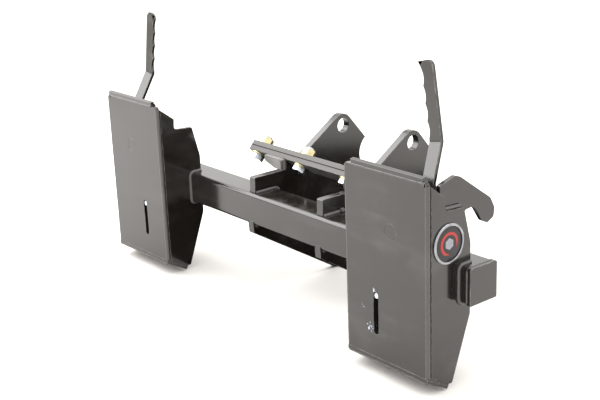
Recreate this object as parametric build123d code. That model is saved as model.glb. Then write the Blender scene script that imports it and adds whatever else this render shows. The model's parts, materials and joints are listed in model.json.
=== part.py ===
from build123d import *
import os
from math import asin, atan2, cos, degrees, radians, sin, tan

# Quick coupler for a skid-steer style attachment plate. Millimetres, +X right, +Y rearwards, +Z up.
# The model is laid out from the middle of the two latch faces' lower edge, in the face plane, and
# every part is moved at export so that the frame's origin is the centre of the boom pin bore.

# --- driving dimensions -------------------------------------------------------------------------
OVERALL_WIDTH = 1125.0       # outer face to outer face of the two latch boxes
FACE_WIDTH = 228.0           # width of one latch box
FACE_HEIGHT = 390.0
PLATE = 10.0                 # face, side and bottom plates of the latch boxes
SEAM = 4.0                   # the face plate stops short of the box corner by this, for the seam weld

TUBE = 76.2                  # square cross tube
TUBE_WALL = 6.35
TUBE_CORNER = 9.5
TUBE_FRONT = 84.0            # front of the cross tube behind the face plane
TUBE_BOTTOM = 134.0
TUBE_STUB = 20.0             # tube length past each box
CAP = 9.5                    # end cap plate
CAP_CORNER = 4.5

LUG = 19.0                   # thickness of the two bracket plates
LUG_GAP = 220.5              # clear width between them
LUG_MIDDLE = 28.25           # X of the middle of that gap
TAB_TOP = 248.0
UPPER_PIN = (371.0, 321.0)   # Y and Z of the tilt pin bore
UPPER_BORE = 35.4
UPPER_BOSS = 30.0
LOWER_PIN = (345.0, -4.0)    # Y and Z of the boom pin bore
LOWER_BORE = 38.6
LOWER_BOSS = 36.0
UPPER_SLOPE = 33.0           # rise of the upper front edge, degrees
LOWER_SLOPE = 31.7           # fall of the lower front edge, degrees
REAR_SLOPE = 45.0            # fall of the edge behind the tilt pin, degrees
SADDLE = 49.6                # radius of the round recess in the rear edge
SADDLE_CENTRE = (473.0, 238.0)
SADDLE_CORNER = 29.0         # the recess starts and ends this far forward of its centre

BAR = 13.0                   # thickness of one clamped bar
BAR_WIDTH = 40.0
BAR_ENDS = (-222.0, 300.0)
BAR_EDGE = (186.0, 274.0)    # Y and Z of the lower bar's front lower edge
BAR_TILT = 47.0              # the bolts rise rearwards at this angle, degrees
BOLTS = (-201.0, -41.0, 119.0, 279.0)
BOLT = 19.0
BOLT_INSET = 20.0            # bolt axis behind the bars' front edge
HEX = 28.6                   # across flats of heads and nuts
HEAD = 12.0
NUT = 16.0
WASHER = (37.0, 3.4)         # diameter and thickness
GUSSET = 10.0
GUSSET_REACH = 66.0
GUSSET_CUT = (0.44, 0.45)    # the cut corner's ends, as shares of reach and height

PIVOT = (463.5, 276.0)       # X and Z of the right lever's pivot
PIVOT_PIN = 31.75
PIN_END = 70.0
PIN_GROOVE = (66.0, 68.0)    # front and rear of the snap ring's groove
GROOVE_FLOOR = 28.75         # diameter at the groove's floor
RING_GAP = 6.0
HUB = 50.0
HUB_SPAN = (12.0, 62.0)      # front and rear end of the hub
FIT = 0.075                  # radial clearance of a turning pin

LEVER_PLATE = (44.0, 53.5)   # front and rear of the bell crank plate
LEVER_LEAN = 9.6             # the raised lever leans inboard, degrees
LEVER_OFFSET = 61.0          # handle centreline outboard of the pivot
LEVER_BAR = (31.75, 7.94)    # handle width and thickness
LEVER_FOOT = 8.0             # handle start, along the handle from the pivot's level
LEVER_BEND = 84.3
LEVER_CREASE = 157.7
LEVER_TOP = 311.0
LEVER_BACK = 25.0            # lean of the handle's middle length, degrees
LEVER_TIP_BACK = 0.6
FINGER_PITCH = 33.0
FINGER_DEPTH = 4.0
FINGER_CREST = 5.0           # radius of the crests between the finger scallops
SWING = 77.0                 # full lever swing, degrees
CRANK = 57.8                 # pivot to crank pin
CRANK_PIN = 16.0
ARM = 13.0                   # half width of the bell crank's arms

SLOT_X = 420.5               # X of the wedge and of the slot in the face plate
SLOT = (49.0, 139.0, 13.5)   # bottom, top and width of the slot
WEDGE = (45.0, 25.0)         # width and thickness of the wedge
WEDGE_FRONT = 12.0
WEDGE_TOE = (7.0, 16.0, 12.0)  # side chamfer, then the rear bevel's height and depth
WEDGE_SPAN = (-14.0, 192.0)  # bottom and top of the raised wedge
WEDGE_PLAY = 0.5
GUIDE_PIN = (12.7, 131.0)    # diameter and raised height of the pin in the face plate's slot
CLEVIS_PIN = (14.0, 176.0)   # diameter and raised height of the pin across the wedge's top
CLEVIS_SLOT = (12.5, 158.0)  # width and floor height of the slot in the wedge's top
GUIDE = (12.0, 2.0, 84.0)    # guide bar width, foot and top
KEEPER = (6.0, 22.0, 80.0)   # keeper plate thickness, foot and top

LINK_Y = 24.5                # middle plane of link and wedge
LINK_HEAD = (30.0, 22.0, 34.0)
LINK_ROD = 14.0
FOOT = (45.0, 11.5, 30.0)
FOOT_CORNER = 9.0
FOOT_PLAY = 1.5              # clearance round the clevis pin, above and below
NECK = 20.0                  # width of the flat between foot and rod
SPRING = (26.0, 4.0, 10.0)   # coil diameter, wire and pitch
SPRING_SPAN = (203.0, 286.0)
SPRING_SEAT = 3.0

LIP_RISE = 10.0              # top lip above the face plate
LIP_LEAN = 11.0              # the lip leans forward, degrees
LIP_GAPS = (22.0, 11.0)      # lip ends short of the box edge: inboard, outboard
HOOK = 10.0                  # thickness of the hook plate
BADGE = (81.0, 4.0, 5.5)     # diameter, thickness and rim width
BADGE_CENTRE = (55.0, 263.0)

# --- values that follow -------------------------------------------------------------------------
BOX_OUT = OVERALL_WIDTH / 2
TAB_FRONT = TUBE_FRONT + TUBE_CORNER   # the plates start behind the tube's rounded corner
BOX_IN = BOX_OUT - FACE_WIDTH
ORIGIN = (LUG_MIDDLE, LOWER_PIN[0], LOWER_PIN[1])
CRANK_RISE = SWING / 2       # the crank swings this far above and below level
CRANK_POINT = (PIVOT[0] - CRANK * cos(radians(CRANK_RISE)), PIVOT[1] + CRANK * sin(radians(CRANK_RISE)))
CRANK_DRIFT = CRANK * (1 - cos(radians(CRANK_RISE)))   # the crank pin moves sideways by this
FOOT_SHIFT = SLOT_X - CRANK_POINT[0] + CRANK_DRIFT / 2  # middle of the foot's slot outboard of the rod
WEDGE_BACK = WEDGE_FRONT + WEDGE[1]
BAR_OUT = (cos(radians(BAR_TILT)), sin(radians(BAR_TILT)))        # along the bolts
BAR_ACROSS = (sin(radians(BAR_TILT)), -cos(radians(BAR_TILT)))    # across the bars, rearwards
SIDES = {"left": -1, "right": 1}


# --- helpers ------------------------------------------------------------------------------------
def block(x, y, z):
    """A box given by its three spans."""
    size = [b - a for a, b in (x, y, z)]
    middle = [(a + b) / 2 for a, b in (x, y, z)]
    return Pos(*middle) * Box(*size)


def side_profile(points, x, radii=()):
    """A plate with its outline in Y and Z, between two X values; radii round chosen corners."""
    face = make_face(Polyline(*points, close=True))
    for index, radius in radii:
        corner = face.vertices().sort_by_distance((points[index][0], points[index][1], 0))[0]
        face = fillet(corner, radius)
    solid = extrude(face, amount=x[1] - x[0])
    return Pos(x[0], 0, 0) * Rot(0, 90, 0) * Rot(0, 0, 90) * solid


def rod(diameter, start, end):
    """A round bar between two points."""
    a, b = Vector(*start), Vector(*end)
    return Plane(origin=a, z_dir=b - a) * extrude(Circle(diameter / 2), amount=(b - a).length)


def along_y(diameter, x, z, y):
    """A round bar parallel to Y."""
    return rod(diameter, (x, y[0], z), (x, y[1], z))


def rounded_square(size, corner, x):
    """A square bar along X with rounded corners, its lower front edge on the tube's."""
    middle = (TUBE_FRONT + TUBE / 2, TUBE_BOTTOM + TUBE / 2)
    sketch = RectangleRounded(size, size, corner)
    return Pos(x[0], *middle) * Rot(0, 90, 0) * extrude(sketch, amount=x[1] - x[0])


def normal(angle):
    """Unit vector in Y and Z at an angle from +Y."""
    return cos(radians(angle)), sin(radians(angle))


def boss_corner(centre, radius, first, second):
    """Where two lines meet that touch a round boss, given by their outward normals."""
    k = radius / (1 + first[0] * second[0] + first[1] * second[1])
    return centre[0] + k * (first[0] + second[0]), centre[1] + k * (first[1] + second[1])


def on_bars(across, out):
    """Y and Z of a point measured from the lower bar's front lower edge."""
    y = BAR_EDGE[0] + across * BAR_ACROSS[0] + out * BAR_OUT[0]
    z = BAR_EDGE[1] + across * BAR_ACROSS[1] + out * BAR_OUT[1]
    return y, z


def save(name, shape):
    """Write one node in the part's own frame."""
    moved = Pos(-ORIGIN[0], -ORIGIN[1], -ORIGIN[2]) * shape
    export_step(moved, f"parts/{name}.step")


# --- cross tube and bracket ---------------------------------------------------------------------
def tube_outside(reach=0.0):
    half = BOX_OUT + TUBE_STUB + reach
    return rounded_square(TUBE, TUBE_CORNER, (-half, half))


def cross_tube():
    half = BOX_OUT + TUBE_STUB
    inside = rounded_square(TUBE - 2 * TUBE_WALL, TUBE_CORNER - TUBE_WALL, (-half, half))
    return tube_outside() - inside


def end_cap(side):
    near = BOX_OUT + TUBE_STUB
    return rounded_square(TUBE, CAP_CORNER, sorted((side * near, side * (near + CAP))))


def seat_end():
    """Y and Z where the wall behind the bars' seat runs out into the upper slope."""
    slope = tan(radians(UPPER_SLOPE))
    touch = normal(90 + UPPER_SLOPE)
    start = (UPPER_PIN[0] + UPPER_BOSS * touch[0], UPPER_PIN[1] + UPPER_BOSS * touch[1])
    foot = on_bars(BAR_WIDTH, 0)
    line = start[1] + slope * (foot[0] - start[0])
    rise = (line - foot[1]) / (BAR_OUT[1] - slope * BAR_OUT[0])
    return foot[0] + rise * BAR_OUT[0], foot[1] + rise * BAR_OUT[1]


def bracket_plate(x):
    """One lug plate: it wraps the tube, seats the bars, and carries both pin bores."""
    peak = boss_corner(UPPER_PIN, UPPER_BOSS, normal(90 + UPPER_SLOPE), normal(90 - REAR_SLOPE))
    high = (SADDLE_CENTRE[0] - SADDLE_CORNER, SADDLE_CENTRE[1] + (SADDLE**2 - SADDLE_CORNER**2) ** 0.5)
    low = (high[0], 2 * SADDLE_CENTRE[1] - high[1])
    reach = (low[0] - LOWER_PIN[0], low[1] - LOWER_PIN[1])
    lean = degrees(atan2(reach[1], reach[0])) - 90 + degrees(
        asin(LOWER_BOSS / (reach[0] ** 2 + reach[1] ** 2) ** 0.5))
    toe = boss_corner(LOWER_PIN, LOWER_BOSS, normal(270 - LOWER_SLOPE), normal(lean))
    front = toe[1] + (toe[0] - TUBE_FRONT) * tan(radians(LOWER_SLOPE))
    middle = TUBE_BOTTOM + TUBE / 2
    points = [
        (TUBE_FRONT, front), (TUBE_FRONT, middle), (TAB_FRONT, middle), (TAB_FRONT, TAB_TOP),
        (BAR_EDGE[0], TAB_TOP), BAR_EDGE,
        on_bars(BAR_WIDTH, 0), seat_end(), peak, high, low, toe,
    ]
    rounds = [(0, 4), (3, 4), (8, UPPER_BOSS), (11, LOWER_BOSS)]
    plate = side_profile(points, x, rounds)
    plate -= tube_outside()
    recess = (x[0], SADDLE_CENTRE[0], SADDLE_CENTRE[1])
    plate -= rod(2 * SADDLE, recess, (x[1], SADDLE_CENTRE[0], SADDLE_CENTRE[1]))
    for pin, bore in ((UPPER_PIN, UPPER_BORE), (LOWER_PIN, LOWER_BORE)):
        plate -= rod(bore, (x[0], *pin), (x[1], *pin))
    return plate


def lug_spans():
    left = LUG_MIDDLE - LUG_GAP / 2
    right = LUG_MIDDLE + LUG_GAP / 2
    return {"left": (left - LUG, left), "right": (right, right + LUG)}


def gusset(side, span):
    """The small plate between a bracket plate and the bars' overhang, its lower corner cut off."""
    inner = span[1] if side < 0 else span[0]
    rise = BAR_EDGE[1] - TAB_TOP
    cut = GUSSET_REACH * GUSSET_CUT[0]
    points = [
        (inner, TAB_TOP), (inner, TAB_TOP + rise), (inner + side * GUSSET_REACH, TAB_TOP + rise),
        (inner + side * GUSSET_REACH, TAB_TOP + rise * GUSSET_CUT[1]), (inner + side * cut, TAB_TOP),
    ]
    face = make_face(Polyline(*points, close=True))
    return Pos(0, BAR_EDGE[0], 0) * Rot(90, 0, 0) * extrude(face, amount=GUSSET)


def bar(layer):
    """One of the two flat bars; layer 0 lies on the bracket plates and layer 1 on top of it."""
    low, high = layer * BAR, (layer + 1) * BAR
    points = [on_bars(0, low), on_bars(BAR_WIDTH, low), on_bars(BAR_WIDTH, high), on_bars(0, high)]
    solid = side_profile(points, BAR_ENDS)
    for x in BOLTS:
        solid -= bolt_axis(BOLT + 1, x, -1, 2 * BAR + 1)
    return solid


def bolt_axis(diameter, x, low, high):
    return rod(diameter, (x, *on_bars(BOLT_INSET, low)), (x, *on_bars(BOLT_INSET, high)))


def hexagon(x, low, high):
    """A hexagonal prism on a bolt's axis, with its flats trimmed by a turned chamfer."""
    start = Vector(x, *on_bars(BOLT_INSET, low))
    end = Vector(x, *on_bars(BOLT_INSET, high))
    plane = Plane(origin=start, z_dir=end - start, x_dir=(1, 0, 0))
    prism = extrude(RegularPolygon(HEX / 2, 6, major_radius=False), amount=(end - start).length)
    trim = Cylinder(HEX * 0.585, (end - start).length, align=(Align.CENTER, Align.CENTER, Align.MIN))
    return plane * (prism & chamfer(trim.edges().filter_by(GeomType.CIRCLE), 1.6))


def bolts():
    low = -WASHER[1]
    high = 2 * BAR + WASHER[1] + NUT + 4
    return [bolt_axis(BOLT, x, low, high) + hexagon(x, low - HEAD, low) for x in BOLTS]


def nuts():
    low = 2 * BAR + WASHER[1]
    return [hexagon(x, low, low + NUT) - bolt_axis(BOLT, x, low - 1, low + NUT + 1) for x in BOLTS]


def washers():
    rings = []
    for x in BOLTS:
        for low in (-WASHER[1], 2 * BAR):
            ring = bolt_axis(WASHER[0], x, low, low + WASHER[1])
            rings.append(ring - bolt_axis(BOLT + 1, x, low - 1, low + WASHER[1] + 1))
    return rings


# --- latch box ----------------------------------------------------------------------------------
def face_plate():
    plate = block((BOX_IN + SEAM, BOX_OUT - SEAM), (0, PLATE), (0, FACE_HEIGHT))
    plate = fillet(plate.edges().filter_by(Axis.Y).group_by(Axis.Z)[-1], 4)
    plate -= along_y(PIVOT_PIN, *PIVOT, (-1, PLATE + 1))
    radius = SLOT[2] / 2
    plate -= block((SLOT_X - radius, SLOT_X + radius), (-1, PLATE + 1), (SLOT[0] + radius, SLOT[1] - radius))
    for z in (SLOT[0] + radius, SLOT[1] - radius):
        plate -= along_y(SLOT[2], SLOT_X, z, (-1, PLATE + 1))
    return plate


def top_lip():
    """A bar standing on the face plate's top edge and leaning forward over it."""
    lean = radians(LIP_LEAN)
    front = (-LIP_RISE * tan(lean), FACE_HEIGHT + LIP_RISE)
    thick = (PLATE * cos(lean), PLATE * sin(lean))
    points = [(0, FACE_HEIGHT), front, (front[0] + thick[0], front[1] + thick[1]),
              (PLATE + 1.5, FACE_HEIGHT)]
    return side_profile(points, (BOX_IN + LIP_GAPS[0], BOX_OUT - LIP_GAPS[1]), [(1, 1.5), (2, 2.5)])


def side_plate(x):
    """A latch box side: lever notch above, a slot for the tube behind, swept in at the bottom."""
    points = [
        (PLATE, 383), (48, 354), (46.5, 328), (98, 325), (117, 250), (117, 103), (68, -28),
        (60, -28.9), (PLATE, 0),
    ]
    plate = side_profile(points, x, [(1, 3), (2, 8), (3, 5), (4, 30), (5, 12)])
    return plate - tube_outside()


def bottom_plate():
    """The kick-back at the foot of the box, with the opening that the wedge comes through."""
    points = [(0, 0), (PLATE, 0), (60, -28.9), (54.5, -38.4), (4, -11), (0, -9)]
    plate = side_profile(points, (BOX_IN + 1, BOX_OUT - 1))
    half = WEDGE[0] / 2 + 1
    depth = (WEDGE_FRONT - 1, WEDGE_BACK + 1)
    return plate - block((SLOT_X - half, SLOT_X + half), depth, (-60, 40))


def wedge_guides():
    """Two bars on the face plate's back, one each side of the wedge, with keeper ledges behind."""
    half = WEDGE[0] / 2 + WEDGE_PLAY
    bars = []
    for side in (-1, 1):
        near, far = SLOT_X + side * half, SLOT_X + side * (half + GUIDE[0])
        bars.append(block(sorted((near, far)), (PLATE, WEDGE_BACK + WEDGE_PLAY), GUIDE[1:]))
    return bars


def wedge_keeper():
    """The plate across both guide bars that holds the wedge against the face plate."""
    half = WEDGE[0] / 2 + WEDGE_PLAY + GUIDE[0]
    back = WEDGE_BACK + WEDGE_PLAY
    plate = block((SLOT_X - half, SLOT_X + half), (back, back + KEEPER[0]), KEEPER[1:])
    return fillet(plate.edges().filter_by(Axis.Y), KEEPER[0] / 2)


def pivot_pin():
    """The lever's pivot, welded into the face plate, with a groove for the snap ring."""
    pin = along_y(PIVOT_PIN, *PIVOT, (0, PIN_END))
    pin -= along_y(2 * PIVOT_PIN, *PIVOT, PIN_GROOVE) - along_y(GROOVE_FLOOR, *PIVOT, PIN_GROOVE)
    return chamfer(pin.edges().filter_by(GeomType.CIRCLE).sort_by(Axis.Y)[-1], 1.5)


def pin_retainer():
    """A thick washer against the hub and the snap ring in the pin's groove."""
    low, high = PIN_GROOVE
    washer = along_y(HUB - 4, *PIVOT, (HUB_SPAN[1] + 0.4, low - 0.4))
    washer -= along_y(PIVOT_PIN + 0.6, *PIVOT, (0, PIN_END))
    ring = along_y(PIVOT_PIN + 5, *PIVOT, (low + 0.2, high - 0.2))
    ring -= along_y(GROOVE_FLOOR, *PIVOT, (0, PIN_END))
    gap = block((PIVOT[0] - RING_GAP / 2, PIVOT[0] + RING_GAP / 2), (0, PIN_END), (0, PIVOT[1]))
    return [washer, ring - gap]


# --- lever --------------------------------------------------------------------------------------
def on_lever(out, along):
    """X and Z of a point measured along the raised handle and outboard of the pivot."""
    lean = radians(LEVER_LEAN)
    x = PIVOT[0] + out * cos(lean) - along * sin(lean)
    return x, PIVOT[1] + out * sin(lean) + along * cos(lean)


def arm(start, end, radius, y):
    """A round-ended flat arm between two X, Z points."""
    a, b = Vector(*start), Vector(*end)
    middle = (a + b) / 2
    turn = degrees(atan2(b.Y - a.Y, b.X - a.X))
    slot = SlotCenterToCenter((b - a).length, 2 * radius)
    sketch = Pos(middle.X, middle.Y) * Rot(0, 0, turn) * slot
    return Pos(0, y[1], 0) * Rot(90, 0, 0) * extrude(sketch, amount=y[1] - y[0])


def lever_plate():
    """The bell crank: an arm to the crank pin, and a web that carries the handle."""
    low, high = on_lever(LEVER_OFFSET, LEVER_FOOT + ARM), on_lever(LEVER_OFFSET, LEVER_BEND - 12)
    plate = arm(PIVOT, CRANK_POINT, ARM + 2, LEVER_PLATE)
    for start, end in ((PIVOT, low), (low, high), (PIVOT, high)):
        plate += arm(start, end, ARM, LEVER_PLATE)
    plate += along_y(HUB + 10, *PIVOT, LEVER_PLATE)
    plate -= along_y(HUB, *PIVOT, (0, 100))
    return plate - along_y(CRANK_PIN, *CRANK_POINT, (0, 100))


def lever_hub():
    hub = along_y(HUB, *PIVOT, HUB_SPAN)
    return hub - along_y(PIVOT_PIN + 2 * FIT, *PIVOT, (0, 100))


def crank_pin():
    pin = along_y(CRANK_PIN, *CRANK_POINT, (LINK_Y - 12, LEVER_PLATE[1]))
    return chamfer(pin.edges().filter_by(GeomType.CIRCLE).sort_by(Axis.Y)[0], 1)


def handle_centre():
    """Distance along the handle and Y of its front surface, at each end and bend."""
    back = tan(radians(LEVER_BACK))
    crease = LEVER_PLATE[1] + (LEVER_CREASE - LEVER_BEND) * back
    tip = crease + (LEVER_TOP - LEVER_CREASE) * tan(radians(LEVER_TIP_BACK))
    return [(LEVER_FOOT, LEVER_PLATE[1]), (LEVER_BEND, LEVER_PLATE[1]), (LEVER_CREASE, crease),
            (LEVER_TOP, tip)]


def lever_handle():
    """A flat bar bent twice, round at the top, with four finger scallops in its inboard edge."""
    wire = Polyline(*handle_centre())
    wire = fillet(wire.vertices().sort_by(Axis.X)[1:3], 14)
    strip = make_face(wire.offset_2d(LEVER_BAR[1], side=Side.LEFT, closed=True))
    width, half = LEVER_BAR[0], LEVER_BAR[0] / 2
    solid = extrude(strip, amount=half, both=True)
    reach = LEVER_TOP - LEVER_FOOT
    outline = Pos(LEVER_FOOT + reach / 2, 0) * Rectangle(reach, width)
    outline = fillet(outline.vertices().group_by(Axis.X)[-1], half * 0.8)
    radius = (FINGER_PITCH**2 / 4 + FINGER_DEPTH**2) / (2 * FINGER_DEPTH)
    first = LEVER_CREASE + 6
    last = first + 4 * FINGER_PITCH
    for step in range(4):
        along = first + FINGER_PITCH * (step + 0.5)
        outline -= Pos(along, FINGER_DEPTH - half - radius) * Circle(radius)
    crests = [v for v in outline.vertices() if abs(v.Y + half) < 0.01 and first - 1 < v.X < last + 1]
    outline = fillet(crests, FINGER_CREST)
    solid &= Rot(-90, 0, 0) * extrude(outline, amount=400, both=True)
    start = on_lever(LEVER_OFFSET, 0)
    lean = radians(LEVER_LEAN)
    place = Plane(
        origin=(start[0], 0, start[1]),
        x_dir=(-sin(lean), 0, cos(lean)),
        z_dir=(-cos(lean), 0, -sin(lean)),
    )
    return place * solid


# --- link and wedge -----------------------------------------------------------------------------
def link_rod():
    """A pivoted head on the crank pin, a round rod, and a flat foot with a cross slot."""
    x, z = CRANK_POINT
    wide, deep, tall = LINK_HEAD
    head = Pos(x, LINK_Y, z) * Box(wide, deep, tall)
    head = fillet(head.edges().filter_by(Axis.Y), 8)
    head -= along_y(CRANK_PIN + 2 * FIT, x, z, (0, 100))
    middle = CLEVIS_PIN[1]
    foot = Pos(x + FOOT_SHIFT, LINK_Y, middle) * Box(*FOOT)
    foot = fillet(foot.edges().filter_by(Axis.Y), FOOT_CORNER)
    neck_top = SPRING_SPAN[0] - SPRING_SEAT
    foot += block(
        (x - NECK / 2, x + NECK / 2),
        (LINK_Y - FOOT[1] / 2, LINK_Y + FOOT[1] / 2),
        (middle, neck_top),
    )
    height = CLEVIS_PIN[0] + 2 * FOOT_PLAY
    slot = SlotOverall(height + CRANK_DRIFT, height)
    foot -= Pos(x + FOOT_SHIFT, LINK_Y + FOOT[1], middle) * Rot(90, 0, 0) * extrude(slot, amount=2 * FOOT[1])
    stem = rod(LINK_ROD, (x, LINK_Y, neck_top), (x, LINK_Y, z))
    stem -= along_y(CRANK_PIN + 2 * FIT, x, z, (0, 100))
    return head + foot + stem


def link_spring():
    """The compression spring round the rod, between its two seats."""
    x = CRANK_POINT[0]
    diameter, wire, pitch = SPRING
    low, high = SPRING_SPAN
    height = high - low - wire
    path = Helix(pitch, height, (diameter - wire) / 2)
    start = path @ 0
    section = Plane(origin=start, z_dir=path % 0) * Circle(wire / 2)
    return Pos(x, LINK_Y, low + wire / 2) * sweep(section, path=path)


def spring_seats():
    """The two round seats that hold the spring on the rod."""
    x = CRANK_POINT[0]
    low, high = SPRING_SPAN
    seats = []
    for z in (low - SPRING_SEAT, high):
        disc = rod(SPRING[0] + 1, (x, LINK_Y, z), (x, LINK_Y, z + SPRING_SEAT))
        seats.append(disc - rod(LINK_ROD, (x, LINK_Y, z - 1), (x, LINK_Y, z + SPRING_SEAT + 1)))
    return seats


def wedge():
    """The locking wedge: a flat bar with a bevelled toe and a forked top."""
    half = WEDGE[0] / 2
    depth = (WEDGE_FRONT, WEDGE_BACK)
    solid = block((SLOT_X - half, SLOT_X + half), depth, WEDGE_SPAN)
    side, height, back = WEDGE_TOE
    solid = chamfer(solid.edges().filter_by(Axis.Y).group_by(Axis.Z)[0], side)
    toe = solid.edges().filter_by(Axis.X).group_by(Axis.Z)[0].sort_by(Axis.Y)[-1]
    solid = chamfer(toe, height, back)
    solid = fillet(solid.edges().filter_by(Axis.Y).group_by(Axis.Z)[-1], 10)
    fork = (LINK_Y - CLEVIS_SLOT[0] / 2, LINK_Y + CLEVIS_SLOT[0] / 2)
    solid -= block((SLOT_X - 40, SLOT_X + 40), fork, (CLEVIS_SLOT[1], 250))
    solid -= along_y(CLEVIS_PIN[0], SLOT_X, CLEVIS_PIN[1], (0, 60))
    return solid - along_y(GUIDE_PIN[0], SLOT_X, GUIDE_PIN[1], (0, LINK_Y))


def wedge_guide_pin():
    pin = along_y(GUIDE_PIN[0], SLOT_X, GUIDE_PIN[1], (1.5, LINK_Y))
    return chamfer(pin.edges().filter_by(GeomType.CIRCLE).sort_by(Axis.Y)[0], 1.2)


def wedge_clevis_pin():
    return along_y(CLEVIS_PIN[0], SLOT_X, CLEVIS_PIN[1], (WEDGE_FRONT, WEDGE_BACK))


# --- single items -------------------------------------------------------------------------------
def hook_plate():
    """The plate inside the right box's outer side, with a hook over its rear edge."""
    points = [
        (43, 376), (85, 387), (99, 382), (154, 343), (184, 322), (196, 300), (194, 281), (176, 272),
        (160, 280), (140, 310), (131, 315), (112, 313), (100, 290), (100, 262), (60, 262), (43, 290),
    ]
    rounds = [(0, 4), (1, 10), (3, 12), (4, 12), (5, 14), (6, 8), (7, 4), (8, 5), (9, 6), (11, 8)]
    inner = BOX_OUT - PLATE - HOOK
    return side_profile(points, (inner, BOX_OUT - PLATE), rounds)


def badge_ring():
    start, end = (BOX_OUT, *BADGE_CENTRE), (BOX_OUT + BADGE[1], *BADGE_CENTRE)
    ring = rod(BADGE[0], start, end)
    ring = fillet(ring.edges().filter_by(GeomType.CIRCLE).sort_by(Axis.X)[-1], 2)
    return ring - rod(BADGE[0] - 2 * BADGE[2], start, end)


def badge_disc():
    start = (BOX_OUT, *BADGE_CENTRE)
    return rod(BADGE[0] - 2 * BADGE[2], start, (BOX_OUT + BADGE[1] * 0.55, *BADGE_CENTRE))


def solids(shape):
    """Keep a group as separate solids under one node."""
    return Compound(children=shape) if isinstance(shape, list) else shape


LATCH = {
    "face_plate": face_plate,
    "top_lip": top_lip,
    "inner_side_plate": lambda: side_plate((BOX_IN, BOX_IN + PLATE)),
    "outer_side_plate": lambda: side_plate((BOX_OUT - PLATE, BOX_OUT)),
    "bottom_plate": bottom_plate,
    "wedge_guides": wedge_guides,
    "wedge_keeper": wedge_keeper,
    "pivot_pin": pivot_pin,
    "pin_retainer": pin_retainer,
    "lever_plate": lever_plate,
    "lever_hub": lever_hub,
    "lever_handle": lever_handle,
    "crank_pin": crank_pin,
    "link_rod": link_rod,
    "link_spring": link_spring,
    "spring_seats": spring_seats,
    "wedge": wedge,
    "wedge_guide_pin": wedge_guide_pin,
    "wedge_clevis_pin": wedge_clevis_pin,
}

SINGLE = {
    "cross_tube": cross_tube,
    "lower_bar": lambda: bar(0),
    "upper_bar": lambda: bar(1),
    "bar_bolts": bolts,
    "bar_nuts": nuts,
    "bar_washers": washers,
    "hook_plate": hook_plate,
    "badge_ring": badge_ring,
    "badge_disc": badge_disc,
}


def main():
    os.makedirs("parts", exist_ok=True)
    for name, make in LATCH.items():
        right = solids(make())
        save(f"right_{name}", right)
        save(f"left_{name}", mirror(right, about=Plane.YZ))
    for name, make in SINGLE.items():
        save(name, solids(make()))
    for side, span in lug_spans().items():
        save(f"bracket_plate_{side}", bracket_plate(span))
        save(f"gusset_{side}", gusset(SIDES[side], span))
        save(f"tube_cap_{side}", end_cap(SIDES[side]))


main()
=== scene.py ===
"""Finished looks of a skid-steer quick coupler: eased plates, weld seams, springs, threads and paint."""
import json
import logging
import math
from dataclasses import dataclass, field
from enum import Enum
from typing import Iterable, Optional, Sequence

import bmesh
import bpy
from mathutils import Matrix, Vector


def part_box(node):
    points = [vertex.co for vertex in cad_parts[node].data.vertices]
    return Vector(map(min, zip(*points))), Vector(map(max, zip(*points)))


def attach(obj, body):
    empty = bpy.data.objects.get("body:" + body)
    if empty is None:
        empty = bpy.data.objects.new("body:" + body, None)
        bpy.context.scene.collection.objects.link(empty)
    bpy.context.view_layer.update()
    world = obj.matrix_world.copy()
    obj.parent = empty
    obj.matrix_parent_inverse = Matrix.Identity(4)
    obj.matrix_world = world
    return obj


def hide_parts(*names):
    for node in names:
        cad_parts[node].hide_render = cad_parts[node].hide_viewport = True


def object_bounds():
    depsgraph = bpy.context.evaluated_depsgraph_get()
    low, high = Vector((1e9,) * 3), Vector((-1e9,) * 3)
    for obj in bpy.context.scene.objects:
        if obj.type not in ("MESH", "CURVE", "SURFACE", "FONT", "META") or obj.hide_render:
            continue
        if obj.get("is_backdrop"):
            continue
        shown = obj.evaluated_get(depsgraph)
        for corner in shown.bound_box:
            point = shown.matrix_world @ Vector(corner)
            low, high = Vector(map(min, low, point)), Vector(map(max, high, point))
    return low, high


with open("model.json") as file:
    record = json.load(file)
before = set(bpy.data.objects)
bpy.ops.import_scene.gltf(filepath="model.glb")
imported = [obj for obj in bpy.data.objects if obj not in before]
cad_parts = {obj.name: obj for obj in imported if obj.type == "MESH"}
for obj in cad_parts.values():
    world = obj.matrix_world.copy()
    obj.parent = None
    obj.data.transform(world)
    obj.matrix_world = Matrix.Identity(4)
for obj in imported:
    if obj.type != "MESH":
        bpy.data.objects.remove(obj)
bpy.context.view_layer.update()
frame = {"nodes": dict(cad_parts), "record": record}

LOG = logging.getLogger("quick_coupler")
MM = 0.001
SAME_PLACE = 1e-6
FLAT_ANGLE = math.radians(0.8)
EASED_ANGLE = math.radians(38)
SMOOTH_ANGLE = math.radians(40)
TUBE_CORNER = 9.5
SIDES = {"left": -1, "right": 1}
Point = tuple[float, float, float]
Colour = tuple[float, float, float, float]


class Slot(Enum):
    """The record's material slots."""

    PAINT = "frame_paint"
    MILL = "mill_steel"
    ZINC = "bright_zinc"
    YELLOW = "yellow_zinc"
    SPRING = "spring_steel"
    WORN = "worn_steel"
    CHROME = "chrome_trim"
    BADGE = "badge_enamel"


class Seam(Enum):
    """Kinds of weld bead: radius in millimetres, and how much its edge wanders."""

    CORNER = (5.3, 0.06)
    FILLET = (4.4, 0.16)
    SMALL = (2.6, 0.22)
    RAGGED = (3.0, 0.34)
    HEAVY = (6.2, 0.20)
    # thin near-black bead that darkens the groove between the bars
    GROOVE_LINE = (1.15, 0.12)


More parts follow.
